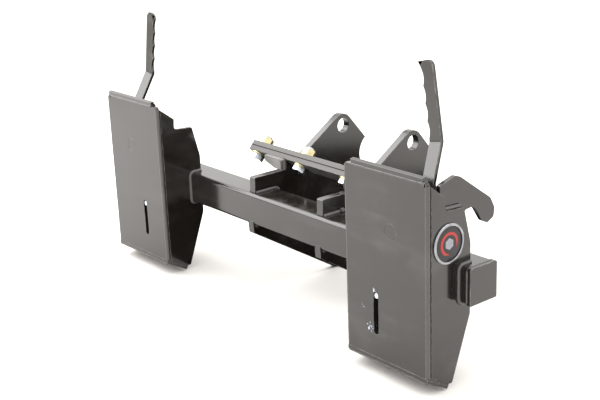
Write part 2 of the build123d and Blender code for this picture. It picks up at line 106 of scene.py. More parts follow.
# --- node graphs --------------------------------------------------------------------------------
@dataclass
class Graph:
    """A node tree under construction, with short calls for what repeats."""

    tree: bpy.types.NodeTree

    def add(self, kind: str, inputs: Optional[dict] = None, **settings: object) -> bpy.types.Node:
        """Add a node.

        Args:
            kind: the node's type name.
            inputs: socket name or index to a value, or to a socket to link from.
            settings: the node's own properties.

        Returns:
            The new node.
        """
        node = self.tree.nodes.new(kind)
        for key, value in settings.items():
            setattr(node, key, value)
        self.put(node, inputs or {})
        return node

    def put(self, node: bpy.types.Node, inputs: dict) -> None:
        """Set or link a node's inputs.

        Args:
            node: the node.
            inputs: socket name or index to a value or a socket.
        """
        for key, value in inputs.items():
            socket = node.inputs[key]
            if isinstance(value, bpy.types.NodeSocket):
                self.tree.links.new(value, socket)
            else:
                socket.default_value = value

    def math(self, operation: str, *values: object) -> bpy.types.NodeSocket:
        """One scalar calculation; returns its result socket."""
        node = self.add("ShaderNodeMath", dict(enumerate(values)), operation=operation)
        return node.outputs[0]

    def vector(self, operation: str, *values: object) -> bpy.types.Node:
        """One vector calculation; returns the node."""
        return self.add("ShaderNodeVectorMath", dict(enumerate(values)), operation=operation)

    def noise(self, where: object, scale: float, detail: float = 3.0) -> bpy.types.NodeSocket:
        """Soft noise between 0 and 1; scale is in cycles per metre."""
        inputs = {"Vector": where, "Scale": scale, "Detail": detail, "Roughness": 0.55}
        return self.add("ShaderNodeTexNoise", inputs).outputs[0]

    def span(self, value: object, low: object, high: object, out: tuple = (0.0, 1.0)) -> bpy.types.NodeSocket:
        """A smooth step from out[0] to out[1] while value goes from low to high."""
        inputs = {"Value": value, "From Min": low, "From Max": high, "To Min": out[0], "To Max": out[1]}
        return self.add("ShaderNodeMapRange", inputs, interpolation_type="SMOOTHSTEP").outputs[0]

    def blend(self, share: object, first: object, second: object) -> bpy.types.NodeSocket:
        """Colours mixed by a share."""
        node = self.add("ShaderNodeMix", {0: share, 6: first, 7: second}, data_type="RGBA")
        return node.outputs[2]


VALUE = "NodeSocketFloat"
VECTOR = "NodeSocketVector"
MATERIAL = "NodeSocketMaterial"
GEOMETRY = "NodeSocketGeometry"


def add_inputs(tree: bpy.types.NodeTree, inputs: Iterable[tuple]) -> None:
    """Give a node tree its named inputs.

    Args:
        tree: the tree.
        inputs: (name, socket type, default) for each input.
    """
    for label, kind, default in inputs:
        socket = tree.interface.new_socket(label, in_out="INPUT", socket_type=kind)
        if default is not None:
            socket.default_value = default


def shader_group(name: str, inputs: Iterable[tuple], outputs: Iterable[tuple]) -> tuple:
    """Start a shader node group, which reads the object's coordinates at its Place.

    Args:
        name: the group's name.
        inputs: (name, socket type, default) for each input after Place.
        outputs: (name, socket type) for each output.

    Returns:
        The graph, the group's input node and its output node.
    """
    tree = bpy.data.node_groups.new(name, "ShaderNodeTree")
    add_inputs(tree, [("Place", VECTOR, None), *inputs])
    for label, kind in outputs:
        tree.interface.new_socket(label, in_out="OUTPUT", socket_type=kind)
    graph = Graph(tree)
    return graph, graph.add("NodeGroupInput"), graph.add("NodeGroupOutput")


def build_peel() -> bpy.types.NodeTree:
    """Sprayed paint: fine orange peel on a slow wave of the plate; puts out a height in metres.

    Returns:
        The finished node group.
    """
    inputs = [("Peel", VALUE, 0.5), ("Wave", VALUE, 0.5)]
    graph, given, out = shader_group("orange_peel", inputs, [("Height", VALUE)])
    place = given.outputs["Place"]
    fine = graph.math("MULTIPLY", graph.noise(place, 420.0, 2.0), given.outputs["Peel"])
    slow = graph.math("MULTIPLY", graph.noise(place, 7.0, 1.0), given.outputs["Wave"])
    graph.put(out, {"Height": graph.math("ADD", fine, slow)})
    return graph.tree


def build_smears() -> bpy.types.NodeTree:
    """Wiped dirt and handling marks: patches and long streaks; puts out a mask.

    Returns:
        The finished node group.
    """
    inputs = [("Size", VALUE, 1.0), ("Cover", VALUE, 0.5)]
    graph, given, out = shader_group("smears", inputs, [("Mask", VALUE)])
    place = graph.vector("SCALE", given.outputs["Place"])
    graph.put(place, {"Scale": given.outputs["Size"]})
    streaks = graph.vector("MULTIPLY", place.outputs[0], (5.0, 5.0, 34.0))
    patches = graph.noise(place.outputs[0], 9.0, 5.0)
    lines = graph.noise(streaks.outputs[0], 1.0, 4.0)
    both = graph.math("MULTIPLY", graph.span(patches, 0.42, 0.72), graph.span(lines, 0.35, 0.75))
    graph.put(out, {"Mask": graph.math("MULTIPLY", both, given.outputs["Cover"])})
    return graph.tree


def build_edge_wear_and_sheen() -> bpy.types.NodeTree:
    """Paint rubbed thin along eased edges, in broken lengths, plus a painted highlight on those same edges;
    puts out a mask.

    Returns:
        The finished node group.
    """
    graph, given, out = shader_group("edge_wear_and_sheen", [("Amount", VALUE, 0.5)], [("Mask", VALUE)])
    edge = graph.add("ShaderNodeAttribute", attribute_name="eased_edge").outputs["Fac"]
    breaks = graph.span(graph.noise(given.outputs["Place"], 60.0, 4.0), 0.38, 0.66)
    broken = graph.math("MULTIPLY", edge, breaks)
    graph.put(out, {"Mask": graph.math("MULTIPLY", broken, given.outputs["Amount"])})
    return graph.tree


def build_dust() -> bpy.types.NodeTree:
    """Dust that settles on surfaces facing up; puts out a mask.

    Returns:
        The finished node group.
    """
    graph, given, out = shader_group("dust_film", [("Amount", VALUE, 0.5)], [("Mask", VALUE)])
    facing = graph.add("ShaderNodeSeparateXYZ", {0: graph.add("ShaderNodeNewGeometry").outputs["Normal"]})
    level = graph.span(facing.outputs["Z"], 0.3, 0.95)
    patchy = graph.span(graph.noise(given.outputs["Place"], 26.0, 6.0), 0.3, 0.8)
    film = graph.math("MULTIPLY", level, patchy)
    graph.put(out, {"Mask": graph.math("MULTIPLY", film, given.outputs["Amount"])})
    return graph.tree


def build_chips() -> bpy.types.NodeTree:
    """Paint chipped off round one place; puts out a mask of small ragged specks.

    Returns:
        The finished node group.
    """
    inputs = [("Centre", VECTOR, None), ("Reach", VALUE, 0.02), ("Density", VALUE, 0.5)]
    graph, given, out = shader_group("chip_cluster", inputs, [("Mask", VALUE)])
    place = given.outputs["Place"]
    near = graph.vector("DISTANCE", place, given.outputs["Centre"]).outputs["Value"]
    share = graph.math("DIVIDE", near, given.outputs["Reach"])
    falloff = graph.span(share, 0.0, 1.0, (1.0, 0.0))
    specks = graph.noise(place, 260.0, 6.0)
    level = graph.math("MULTIPLY", falloff, given.outputs["Density"])
    limit = graph.math("SUBTRACT", 0.82, graph.math("MULTIPLY", level, 0.42))
    graph.put(out, {"Mask": graph.span(specks, limit, graph.math("ADD", limit, 0.05))})
    return graph.tree


def build_scale_mottle() -> bpy.types.NodeTree:
    """Rolled steel's skin: cloudy scale with fine pits; puts out a tone mask and a height in metres.

    Returns:
        The finished node group.
    """
    outputs = [("Tone", VALUE), ("Height", VALUE)]
    graph, given, out = shader_group("rolled_skin", [("Grain", VALUE, 1.0)], outputs)
    place = given.outputs["Place"]
    drawn = graph.vector("MULTIPLY", place, (14.0, 120.0, 120.0)).outputs[0]
    cloud = graph.noise(place, 38.0, 5.0)
    lines = graph.noise(drawn, 3.0, 4.0)
    tone = graph.math("ADD", graph.math("MULTIPLY", cloud, 0.6), graph.math("MULTIPLY", lines, 0.4))
    pits = graph.math("MULTIPLY", graph.noise(place, 700.0, 2.0), given.outputs["Grain"])
    graph.put(out, {"Tone": graph.span(tone, 0.35, 0.65), "Height": pits})
    return graph.tree


GROUPS = {
    "peel": build_peel(),
    "smears": build_smears(),
    "worn_edge_sheen": build_edge_wear_and_sheen(),
    "dust": build_dust(),
    "chips": build_chips(),
    "skin": build_scale_mottle(),
}


# --- finishes -----------------------------------------------------------------------------------
@dataclass
class Surface:
    """A material with its Principled shader, its place on the object and the shared groups at hand."""

    name: str
    material: bpy.types.Material = field(init=False)
    graph: Graph = field(init=False)
    shader: bpy.types.Node = field(init=False)
    place: bpy.types.NodeSocket = field(init=False)

    def __post_init__(self) -> None:
        """Start the material from Blender's own Principled shader."""
        self.material = bpy.data.materials.new(self.name)
        self.material.use_nodes = True
        self.graph = Graph(self.material.node_tree)
        self.shader = self.material.node_tree.nodes["Principled BSDF"]
        self.place = self.graph.add("ShaderNodeTexCoord").outputs["Object"]

    def use(self, group: str, **inputs: object) -> bpy.types.Node:
        """Place one of the shared groups, reading the object's own coordinates.

        Args:
            group: the group's key in GROUPS.
            inputs: its inputs other than Place.

        Returns:
            The group's node.
        """
        node = self.graph.add("ShaderNodeGroup", node_tree=GROUPS[group])
        self.graph.put(node, {"Place": self.place, **inputs})
        return node

    def bump(self, height: bpy.types.NodeSocket, strength: float, depth: float) -> None:
        """Feed a height to the shader's normal.

        Args:
            height: the height.
            strength: the share that is applied.
            depth: the height of 1, in metres.
        """
        node = self.graph.add("ShaderNodeBump", {"Height": height, "Strength": strength, "Distance": depth})
        self.graph.put(self.shader, {"Normal": node.outputs[0]})


@dataclass(frozen=True)
class Chips:
    """A cluster of paint chips: its centre in latch millimetres, reach and density."""

    centre: Point
    reach: float
    density: float


@dataclass(frozen=True)
class Enamel:
    """Dark glossy enamel, sprayed over steel plate."""

    name: str
    colour: Colour = (0.0070, 0.0058, 0.0046, 1.0)
    # eased edges: paint worn thin, lightened further as a painted edge highlight
    worn_edge_sheen_tone: Colour = (0.17, 0.165, 0.155, 1.0)
    haze: Colour = (0.075, 0.070, 0.063, 1.0)
    bare: Colour = (0.42, 0.47, 0.56, 1.0)
    gloss: float = 0.13
    ior: float = 1.67
    peel: float = 0.35
    wave: float = 1.0
    worn_edge_sheen: float = 0.6
    smears: float = 0.35
    dust: float = 0.3
    chips: tuple[Chips, ...] = ()

    def make(self) -> bpy.types.Material:
        """Build the material.

        Returns:
            The material.
        """
        surface = Surface(self.name)
        graph = surface.graph
        smear = surface.use("smears", Cover=self.smears).outputs["Mask"]
        dust = surface.use("dust", Amount=self.dust).outputs["Mask"]
        # mask of worn edges plus a painted edge highlight, in broken lengths
        worn_edge_sheen = surface.use("worn_edge_sheen", Amount=self.worn_edge_sheen).outputs["Mask"]
        film = graph.math("MAXIMUM", smear, dust)
        tone = graph.blend(film, self.colour, self.haze)
        tone = graph.blend(worn_edge_sheen, tone, self.worn_edge_sheen_tone)
        rough = graph.math("ADD", graph.math("MULTIPLY", film, 0.22), self.gloss)
        rough = graph.math("ADD", rough, graph.math("MULTIPLY", worn_edge_sheen, 0.2))
        height = surface.use("peel", Peel=self.peel, Wave=self.wave).outputs["Height"]
        if self.chips:
            mask = self.all_chips(surface)
            tone = graph.blend(mask, tone, self.bare)
            rough = graph.math("ADD", rough, graph.math("MULTIPLY", mask, 0.3))
            height = graph.math("SUBTRACT", height, mask)
        graph.put(surface.shader, {"Base Color": tone, "Roughness": rough, "IOR": self.ior})
        surface.bump(height, 0.35, 0.0004)
        return surface.material

    def all_chips(self, surface: Surface) -> bpy.types.NodeSocket:
        """Every cluster's specks in one mask.

        Args:
            surface: the material that gets the chips.

        Returns:
            The mask's socket.
        """
        masks = []
        for cluster in self.chips:
            reach = cluster.reach * MM
            centre = DATUM.at(*cluster.centre)
            node = surface.use("chips", Centre=centre, Reach=reach, Density=cluster.density)
            masks.append(node.outputs["Mask"])
        total = masks[0]
        for mask in masks[1:]:
            total = surface.graph.math("MAXIMUM", total, mask)
        return total


@dataclass(frozen=True)
class RolledSteel:
    """Bare flat bar with its mill scale, or an oiled bar rubbed bright; its lighter eased edges are partly
    wear and partly a painted highlight.
    """

    name: str
    dark: Colour = (0.082, 0.079, 0.077, 1.0)
    light: Colour = (0.118, 0.115, 0.111, 1.0)
    # eased edges: wear plus a painted edge highlight
    bright: Colour = (0.22, 0.22, 0.22, 1.0)
    rough: float = 0.46
    metal: float = 0.5
    grain: float = 1.0
    worn_edge_sheen: float = 0.8

    def make(self) -> bpy.types.Material:
        """Build the material.

        Returns:
            The material.
        """
        surface = Surface(self.name)
        graph = surface.graph
        skin = surface.use("skin", Grain=self.grain)
        # mask of worn edges plus a painted edge highlight, in broken lengths
        worn_edge_sheen = surface.use("worn_edge_sheen", Amount=self.worn_edge_sheen).outputs["Mask"]
        tone = graph.blend(skin.outputs["Tone"], self.dark, self.light)
        tone = graph.blend(worn_edge_sheen, tone, self.bright)
        rough = graph.math("ADD", graph.math("MULTIPLY", skin.outputs["Tone"], 0.16), self.rough)
        graph.put(surface.shader, {"Base Color": tone, "Roughness": rough, "Metallic": self.metal})
        surface.bump(skin.outputs["Height"], 0.5, 0.0003)
        return surface.material


@dataclass(frozen=True)
class Plating:
    """Zinc or chrome plating over a machined part, with faint handling marks."""

    name: str
    clean: Colour = (0.62, 0.66, 0.72, 1.0)
    dull: Colour = (0.34, 0.36, 0.40, 1.0)
    rough: float = 0.2
    mottle: float = 90.0

    def make(self) -> bpy.types.Material:
        """Build the material.

        Returns:
            The material.
        """
        surface = Surface(self.name)
        graph = surface.graph
        cloud = graph.span(graph.noise(surface.place, self.mottle, 5.0), 0.36, 0.68)
        marks = surface.use("smears", Size=6.0, Cover=0.8).outputs["Mask"]
        dull = graph.math("MAXIMUM", graph.math("MULTIPLY", cloud, 0.55), marks)
        tone = graph.blend(dull, self.clean, self.dull)
        rough = graph.math("ADD", graph.math("MULTIPLY", dull, 0.2), self.rough)
        graph.put(surface.shader, {"Base Color": tone, "Roughness": rough, "Metallic": 1.0})
        surface.bump(graph.noise(surface.place, 900.0, 2.0), 0.25, 0.0001)
        return surface.material


@dataclass(frozen=True)
class BadgeEnamel:
    """Glassy badge enamel with a fine metallic fleck."""

    name: str
    colour: Colour
    fleck: Colour
    rough: float = 0.16

    def make(self) -> bpy.types.Material:
        """Build the material.

        Returns:
            The material.
        """
        surface = Surface(self.name)
        graph = surface.graph
        fleck = graph.span(graph.noise(surface.place, 2200.0, 1.0), 0.58, 0.72)
        shade = graph.noise(surface.place, 60.0, 3.0)
        tone = graph.blend(graph.math("MULTIPLY", fleck, 0.6), self.colour, self.fleck)
        rough = graph.math("ADD", graph.math("MULTIPLY", shade, 0.12), self.rough)
        graph.put(surface.shader, {"Base Color": tone, "Roughness": rough, "IOR": 1.36, "Coat Weight": 0.2})
        surface.bump(shade, 0.1, 0.0003)
        return surface.material


# --- places -------------------------------------------------------------------------------------
@dataclass(frozen=True)
class Datum:
    """Turns latch millimetres into the frame: from the middle of the latch faces' lower edge."""

    origin: Vector

    @classmethod
    def from_frame(cls) -> "Datum":
        """Find the datum from both face plates.

        Returns:
            The datum.
        """
        low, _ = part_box("left_face_plate")
        _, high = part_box("right_face_plate")
        return cls(Vector(((low.x + high.x) / 2, low.y, low.z)))

    def at(self, x: float, y: float, z: float) -> Vector:
        """A point of the frame, in metres."""
        return self.origin + Vector((x, y, z)) * MM

    def span(self, node: str) -> tuple[Vector, Vector]:
        """A CAD node's lowest and highest corner, in latch millimetres."""
        low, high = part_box(node)
        return (low - self.origin) / MM, (high - self.origin) / MM


DATUM = Datum.from_frame()
FRAME_BODY = "frame"


def add_object(name: str, mesh: bpy.types.Mesh) -> bpy.types.Object:
    """Put a mesh in the scene as an object at the origin.

    Args:
        name: the piece's name.
        mesh: its mesh.

    Returns:
        The new object.
    """
    made = bpy.data.objects.new(name, mesh)
    bpy.context.scene.collection.objects.link(made)
    return made


def fixed(made: bpy.types.Object, body: str, slot: Slot) -> bpy.types.Object:
    """Fix a finished piece to its body.

    Args:
        made: the piece.
        body: the body that it rides on.
        slot: its material slot; not used.

    Returns:
        The same piece.
    """
    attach(made, body)
    LOG.info("%s: %d faces on %s", made.name, len(made.data.polygons), body)
    return made


def outward(mesh: bpy.types.Mesh) -> None:
    """Turn every face of closed shells outwards.

    Args:
        mesh: the mesh to turn.
    """
    work = bmesh.new()
    work.from_mesh(mesh)
    bmesh.ops.recalc_face_normals(work, faces=work.faces)
    work.to_mesh(mesh)
    work.free()


def settled(made: bpy.types.Object) -> bpy.types.Object:
    """Bake an object's modifiers into a plain mesh and remove them.

    Args:
        made: the object.

    Returns:
        The same object, with its final mesh.
    """
    graph = bpy.context.evaluated_depsgraph_get()
    mesh = bpy.data.meshes.new_from_object(made.evaluated_get(graph), depsgraph=graph)
    made.modifiers.clear()
    made.data = mesh
    mesh.name = made.name
    return made


def eased(node: str, width: float, segments: int = 2) -> bpy.types.Object:
    """A copy of a CAD node with rounded edges, whose edge faces carry the eased_edge attribute.

    Args:
        node: the CAD node, which the copy replaces.
        width: the width of each rounded edge, in millimetres.
        segments: the number of faces across each edge.

    Returns:
        The finished copy, not yet riding on a body.
    """
    work = bmesh.new()
    work.from_mesh(frame["nodes"][node].data)
    bmesh.ops.remove_doubles(work, verts=work.verts, dist=SAME_PLACE)
    bmesh.ops.dissolve_limit(work, angle_limit=FLAT_ANGLE, verts=work.verts, edges=work.edges)
    bmesh.ops.triangulate(work, faces=work.faces)
    for face in work.faces:
        face.smooth = True
        face.material_index = 0
    mesh = bpy.data.meshes.new(node)
    work.to_mesh(mesh)
    work.free()
    for stale in ("custom_normal", "sharp_edge", "sharp_face"):
        if stale in mesh.attributes:
            mesh.attributes.remove(mesh.attributes[stale])
    for _ in range(2):
        mesh.materials.append(None)
    made = add_object(f"{node}.finished", mesh)
    bevel = made.modifiers.new("edges", "BEVEL")
    bevel.width = width * MM
    bevel.segments = segments
    bevel.limit_method = "ANGLE"
    bevel.angle_limit = EASED_ANGLE
    bevel.use_clamp_overlap = False
    bevel.loop_slide = False
    bevel.harden_normals = True
    bevel.material = 1
    settled(made)
    marks = [float(face.material_index == 1) for face in made.data.polygons]
    made.data.attributes.new("eased_edge", "FLOAT", "FACE").data.foreach_set("value", marks)
    made.data.polygons.foreach_set("material_index", [0] * len(marks))
    made.data.materials.clear()
    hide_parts(node)
    return made


# --- repeated shapes ----------------------------------------------------------------------------
def geometry_tree(name: str, inputs: Iterable[tuple]) -> tuple:
    """Start a geometry node tree with a geometry in and out and the named inputs.

    Args:
        name: the tree's name.
        inputs: (name, socket type, default) for each input between Geometry and Finish.

    Returns:
        The graph, the tree's input node and its output node.
    """
    tree = bpy.data.node_groups.new(name, "GeometryNodeTree")
    add_inputs(tree, [("Geometry", GEOMETRY, None), *inputs, ("Finish", MATERIAL, None)])
    tree.interface.new_socket("Geometry", in_out="OUTPUT", socket_type=GEOMETRY)
    graph = Graph(tree)
    return graph, graph.add("NodeGroupInput"), graph.add("NodeGroupOutput")


def close_tree(
    graph: Graph, given: bpy.types.Node, out: bpy.types.Node, shape: bpy.types.NodeSocket
) -> None:
    """End a tree: smooth faces, real geometry, one material.

    Args:
        graph: the tree's graph.
        given: its input node.
        out: its output node.
        shape: the geometry to put out.
    """
    smooth = graph.add("GeometryNodeSetShadeSmooth", {"Geometry": shape})
    real = graph.add("GeometryNodeRealizeInstances", {"Geometry": smooth.outputs[0]})
    dressed = graph.add("GeometryNodeSetMaterial", {"Geometry": real.outputs[0]})
    graph.put(dressed, {"Material": given.outputs["Finish"]})
    graph.put(out, {0: dressed.outputs[0]})


def swept(graph: Graph, curve: object, radius: object, sides: int) -> bpy.types.NodeSocket:
    """A round section swept along a curve, with its radius given along the way.

    Args:
        graph: the tree's graph.
        curve: the path.
        radius: the section's radius, in metres.
        sides: the number of sides of the section.

    Returns:
        The mesh's socket.
    """
    ring = graph.add("GeometryNodeCurvePrimitiveCircle", {"Resolution": sides, "Radius": 1.0})
    sized = graph.add("GeometryNodeSetCurveRadius", {"Curve": curve, "Radius": radius})
    inputs = {"Curve": sized.outputs[0], "Profile Curve": ring.outputs[0], "Fill Caps": True}
    sweep = graph.add("GeometryNodeCurveToMesh", inputs)
    if "Scale" in sweep.inputs:
        graph.put(sweep, {"Scale": graph.add("GeometryNodeInputRadius").outputs[0]})
    return sweep.outputs[0]


def build_bead_tree() -> bpy.types.NodeTree:
    """Weld bead along paths: a rippled round section whose radius is the paths' bead attribute.

    Returns:
        The finished node group.
    """
    graph, given, out = geometry_tree(
        "weld_bead",
        [
            ("Step", VALUE, 0.0009),
            ("Ripple Pitch", VALUE, 0.0032),
            ("Ripple Depth", VALUE, 0.10),
            ("Seed", VALUE, 0.0),
        ],
    )
    paths = graph.add("GeometryNodeMeshToCurve", {"Mesh": given.outputs["Geometry"]})
    inputs = {"Curve": paths.outputs[0], "Length": given.outputs["Step"]}
    fine = graph.add("GeometryNodeResampleCurve", inputs, mode="LENGTH")
    along = graph.add("GeometryNodeSplineParameter").outputs["Length"]
    turn = graph.math("MULTIPLY", graph.math("DIVIDE", along, given.outputs["Ripple Pitch"]), math.pi)
    ripple = graph.math("ABSOLUTE", graph.math("SINE", turn))
    where = graph.add("GeometryNodeInputPosition").outputs[0]
    seeded = graph.add("ShaderNodeCombineXYZ", {0: given.outputs["Seed"]}).outputs[0]
    moved = graph.vector("ADD", where, seeded)
    uneven = graph.math("SUBTRACT", graph.noise(moved.outputs[0], 95.0, 4.0), 0.5)
    wander = graph.add("GeometryNodeInputNamedAttribute", {"Name": "wander"}, data_type="FLOAT").outputs[0]
    base = graph.add("GeometryNodeInputNamedAttribute", {"Name": "bead"}, data_type="FLOAT").outputs[0]
    share = graph.math("ADD", 0.95, graph.math("MULTIPLY", ripple, given.outputs["Ripple Depth"]))
    share = graph.math("ADD", share, graph.math("MULTIPLY", uneven, graph.math("MULTIPLY", wander, 3.0)))
    radius = graph.math("MULTIPLY", base, share)
    close_tree(graph, given, out, swept(graph, fine.outputs[0], radius, 10))
    return graph.tree


def build_coil_tree() -> bpy.types.NodeTree:
    """Compression spring: a round wire on a helix, standing on its place.

    Returns:
        The finished node group.
    """
    graph, given, out = geometry_tree(
        "coil_spring",
        [
            ("Place", VECTOR, None),
            ("Turns", VALUE, 8.0),
            ("Coil Radius", VALUE, 0.011),
            ("Wire Radius", VALUE, 0.002),
            ("Height", VALUE, 0.08),
        ],
    )
    inputs = {
        "Resolution": 36,
        "Rotations": given.outputs["Turns"],
        "Start Radius": given.outputs["Coil Radius"],
        "End Radius": given.outputs["Coil Radius"],
        "Height": given.outputs["Height"],
    }
    spiral = graph.add("GeometryNodeCurveSpiral", inputs)
    wire = swept(graph, spiral.outputs[0], given.outputs["Wire Radius"], 12)
    stood = graph.add("GeometryNodeTransform", {"Geometry": wire, "Translation": given.outputs["Place"]})
    close_tree(graph, given, out, stood.outputs[0])
    return graph.tree


def build_thread_tree() -> bpy.types.NodeTree:
    """Screw threads on points: each point's axis attribute is the way its thread runs.

    Returns:
        The finished node group.
    """
    graph, given, out = geometry_tree(
        "screw_thread",
        [
            ("Pitch", VALUE, 0.0025),
            ("Length", VALUE, 0.005),
            ("Radius", VALUE, 0.0093),
        ],
    )
    turns = graph.math("DIVIDE", given.outputs["Length"], given.outputs["Pitch"])
    inputs = {
        "Resolution": 32,
        "Rotations": turns,
        "Start Radius": given.outputs["Radius"],
        "End Radius": given.outputs["Radius"],
        "Height": given.outputs["Length"],
    }
    spiral = graph.add("GeometryNodeCurveSpiral", inputs)
    ridge = swept(graph, spiral.outputs[0], graph.math("MULTIPLY", given.outputs["Pitch"], 0.42), 4)
    axis = graph.add("GeometryNodeInputNamedAttribute", {"Name": "axis"}, data_type="FLOAT_VECTOR").outputs[0]
    turn = graph.add("FunctionNodeAlignRotationToVector", {"Vector": axis}, axis="Z")
    placed = graph.add(
        "GeometryNodeInstanceOnPoints",
        {"Points": given.outputs["Geometry"], "Instance": ridge, "Rotation": turn.outputs[0]},
    )
    close_tree(graph, given, out, placed.outputs[0])
    return graph.tree


def build_spatter_tree() -> bpy.types.NodeTree:
    """Weld spatter: small flattened beads scattered along paths with a fixed seed.

    Returns:
        The finished node group.
    """
    graph, given, out = geometry_tree(
        "weld_spatter",
        [
            ("Count Step", VALUE, 0.006),
            ("Spread", VALUE, 0.012),
            ("Size", VALUE, 0.0007),
            ("Seed", "NodeSocketInt", 3),
        ],
    )
    paths = graph.add("GeometryNodeMeshToCurve", {"Mesh": given.outputs["Geometry"]})
    inputs = {"Curve": paths.outputs[0], "Length": given.outputs["Count Step"]}
    dots = graph.add("GeometryNodeCurveToPoints", inputs, mode="LENGTH")
    lie = graph.add("GeometryNodeInputNamedAttribute", {"Name": "lie"}, data_type="FLOAT_VECTOR").outputs[0]
    push = random_value(graph, given.outputs["Seed"], 0)
    away = graph.math("MULTIPLY", graph.math("POWER", push, 1.6), given.outputs["Spread"])
    shift = graph.vector("SCALE", lie)
    graph.put(shift, {"Scale": away})
    jitter = graph.math("MULTIPLY", random_value(graph, given.outputs["Seed"], 1), 0.004)
    tangent = graph.vector("SCALE", dots.outputs["Tangent"])
    graph.put(tangent, {"Scale": jitter})
    offset = graph.vector("ADD", shift.outputs[0], tangent.outputs[0]).outputs[0]
    spread = graph.add("GeometryNodeSetPosition", {"Geometry": dots.outputs[0], "Offset": offset})
    drop = graph.add("GeometryNodeMeshIcoSphere", {"Radius": 1.0, "Subdivisions": 2})
    grow = graph.math("ADD", 0.35, graph.math("POWER", random_value(graph, given.outputs["Seed"], 2), 3.0))
    size = graph.math("MULTIPLY", grow, given.outputs["Size"])
    placed = graph.add(
        "GeometryNodeInstanceOnPoints",
        {"Points": spread.outputs[0], "Instance": drop.outputs[0], "Scale": size},
    )
    close_tree(graph, given, out, placed.outputs[0])
    return graph.tree


def random_value(graph: Graph, seed: object, salt: int) -> bpy.types.NodeSocket:
    """A random number from 0 to 1 for each point.

    Args:
        graph: the tree's graph.
        seed: the tree's seed.
        salt: a number that sets this draw apart from the others.

    Returns:
        The number's socket.
    """
    node = graph.add("FunctionNodeRandomValue", data_type="FLOAT")
    graph.put(node, {"Seed": graph.math("ADD", seed, float(salt * 101))})
    return next(socket for socket in node.outputs if socket.type == "VALUE" and socket.enabled)


TREES = {
    "bead": build_bead_tree(),
    "coil": build_coil_tree(),
    "thread": build_thread_tree(),
    "spatter": build_spatter_tree(),
}


def grown(
    made: bpy.types.Object, tree: str, finish: bpy.types.Material, **inputs: object
) -> bpy.types.Object:
    """Run a geometry tree on an object and keep its result as a plain mesh.

    Args:
        made: the object that holds the paths or points.
        tree: the tree's key in TREES.
        finish: the material that the tree sets.
        inputs: the tree's named inputs, with _ for a space.

    Returns:
        The same object, with its final mesh.
    """
    modifier = made.modifiers.new(tree, "NODES")
    modifier.node_group = TREES[tree]
    items = TREES[tree].interface.items_tree
    sockets = {item.name: item.identifier for item in items if item.in_out == "INPUT"}
    modifier[sockets["Finish"]] = finish
    for key, value in inputs.items():
        modifier[sockets[key.replace("_", " ")]] = value
    settled(made)
    outward(made.data)
    return made


@dataclass
class Run:
    """One weld run: its path in latch millimetres, its kind, and the way its spatter lies."""

    path: Sequence[Point]
    seam: Seam
    closed: bool = False
    lie: Point = (0.0, 0.0, 0.0)


def path_object(name: str, runs: Sequence[Run]) -> bpy.types.Object:
    """Lay weld runs out as edges that carry their bead, wander and lie.

    Args:
        name: the object's name.
        runs: the weld runs.

    Returns:
        The new object.
    """
    points, edges, beads, wanders, lies = [], [], [], [], []
    for run in runs:
        first = len(points)
        points += [DATUM.at(*point) for point in run.path]
        count = len(run.path)
        edges += [(first + i, first + i + 1) for i in range(count - 1)]
        if run.closed:
            edges.append((first + count - 1, first))
        beads += [run.seam.value[0] * MM] * count
        wanders += [run.seam.value[1]] * count
        for _ in range(count):
            lies += run.lie
    mesh = bpy.data.meshes.new(name)
    mesh.from_pydata(points, edges, [])
    mesh.attributes.new("bead", "FLOAT", "POINT").data.foreach_set("value", beads)
    mesh.attributes.new("wander", "FLOAT", "POINT").data.foreach_set("value", wanders)
    mesh.attributes.new("lie", "FLOAT_VECTOR", "POINT").data.foreach_set("vector", lies)
    return add_object(name, mesh)


def weld(name: str, runs: Sequence[Run], body: str, seed: float) -> bpy.types.Object:
    """Lay one body's weld beads as one piece.

    Args:
        name: the piece's name.
        runs: its runs.
        body: the body that it rides on.
        seed: shifts the bead's unevenness.

    Returns:
        The finished piece.
    """
    made = grown(path_object(name, runs), "bead", FINISHES["weld"], Seed=seed)
    return fixed(made, body, Slot.PAINT)


def spatter(name: str, runs: Sequence[Run], body: str, seed: int) -> bpy.types.Object:
    """Scatter one body's weld spatter as one piece.

    Args:
        name: the piece's name.
        runs: the runs it lies beside.
        body: the body that it rides on.
        seed: sets the random places.

    Returns:
        The finished piece.
    """
    made = grown(path_object(name, runs), "spatter", FINISHES["weld"], Seed=seed)
    return fixed(made, body, Slot.PAINT)


def spaced(start: float, end: float, count: int) -> list[float]:
    """Values from start to end with count equal steps."""
    return [start + (end - start) * step / count for step in range(count + 1)]


def arc(centre: tuple, radius: float, start: float, end: float, count: int, x: float) -> list[Point]:
    """Points on an arc in the plane at x, angles in degrees from +Y towards +Z.

    Args:
        centre: the arc's centre (y, z).
        radius: its radius.
        start: its first angle.
        end: its last angle.
        count: the number of steps.
        x: the plane.

    Returns:
        The points.
    """
    turns = [math.radians(angle) for angle in spaced(start, end, count)]
    return [(x, centre[0] + radius * math.cos(t), centre[1] + radius * math.sin(t)) for t in turns]


def bridge(work: bmesh.types.BMesh, rings: Sequence[Sequence[bmesh.types.BMVert]]) -> None:
    """Join each closed ring of vertices to the next with a band of quads.

    Args:
        work: the bmesh that holds them.
        rings: the rings in order, each with as many vertices.
    """
    for first, second in zip(rings, rings[1:]):
        for i in range(len(first)):
            j = (i + 1) % len(first)
            work.faces.new((first[i], first[j], second[j], second[i]))


def ring_along_y(centre: tuple, radius: float, y: float, count: int = 40) -> list[Point]:
    """Points on a circle about an axis along Y.

    Args:
        centre: the circle's centre (x, z).
        radius: its radius.
        y: its plane.
        count: the number of points.

    Returns:
        The points.
    """
    turns = [2 * math.pi * step / count for step in range(count)]
    return [(centre[0] + radius * math.cos(t), y, centre[1] + radius * math.sin(t)) for t in turns]


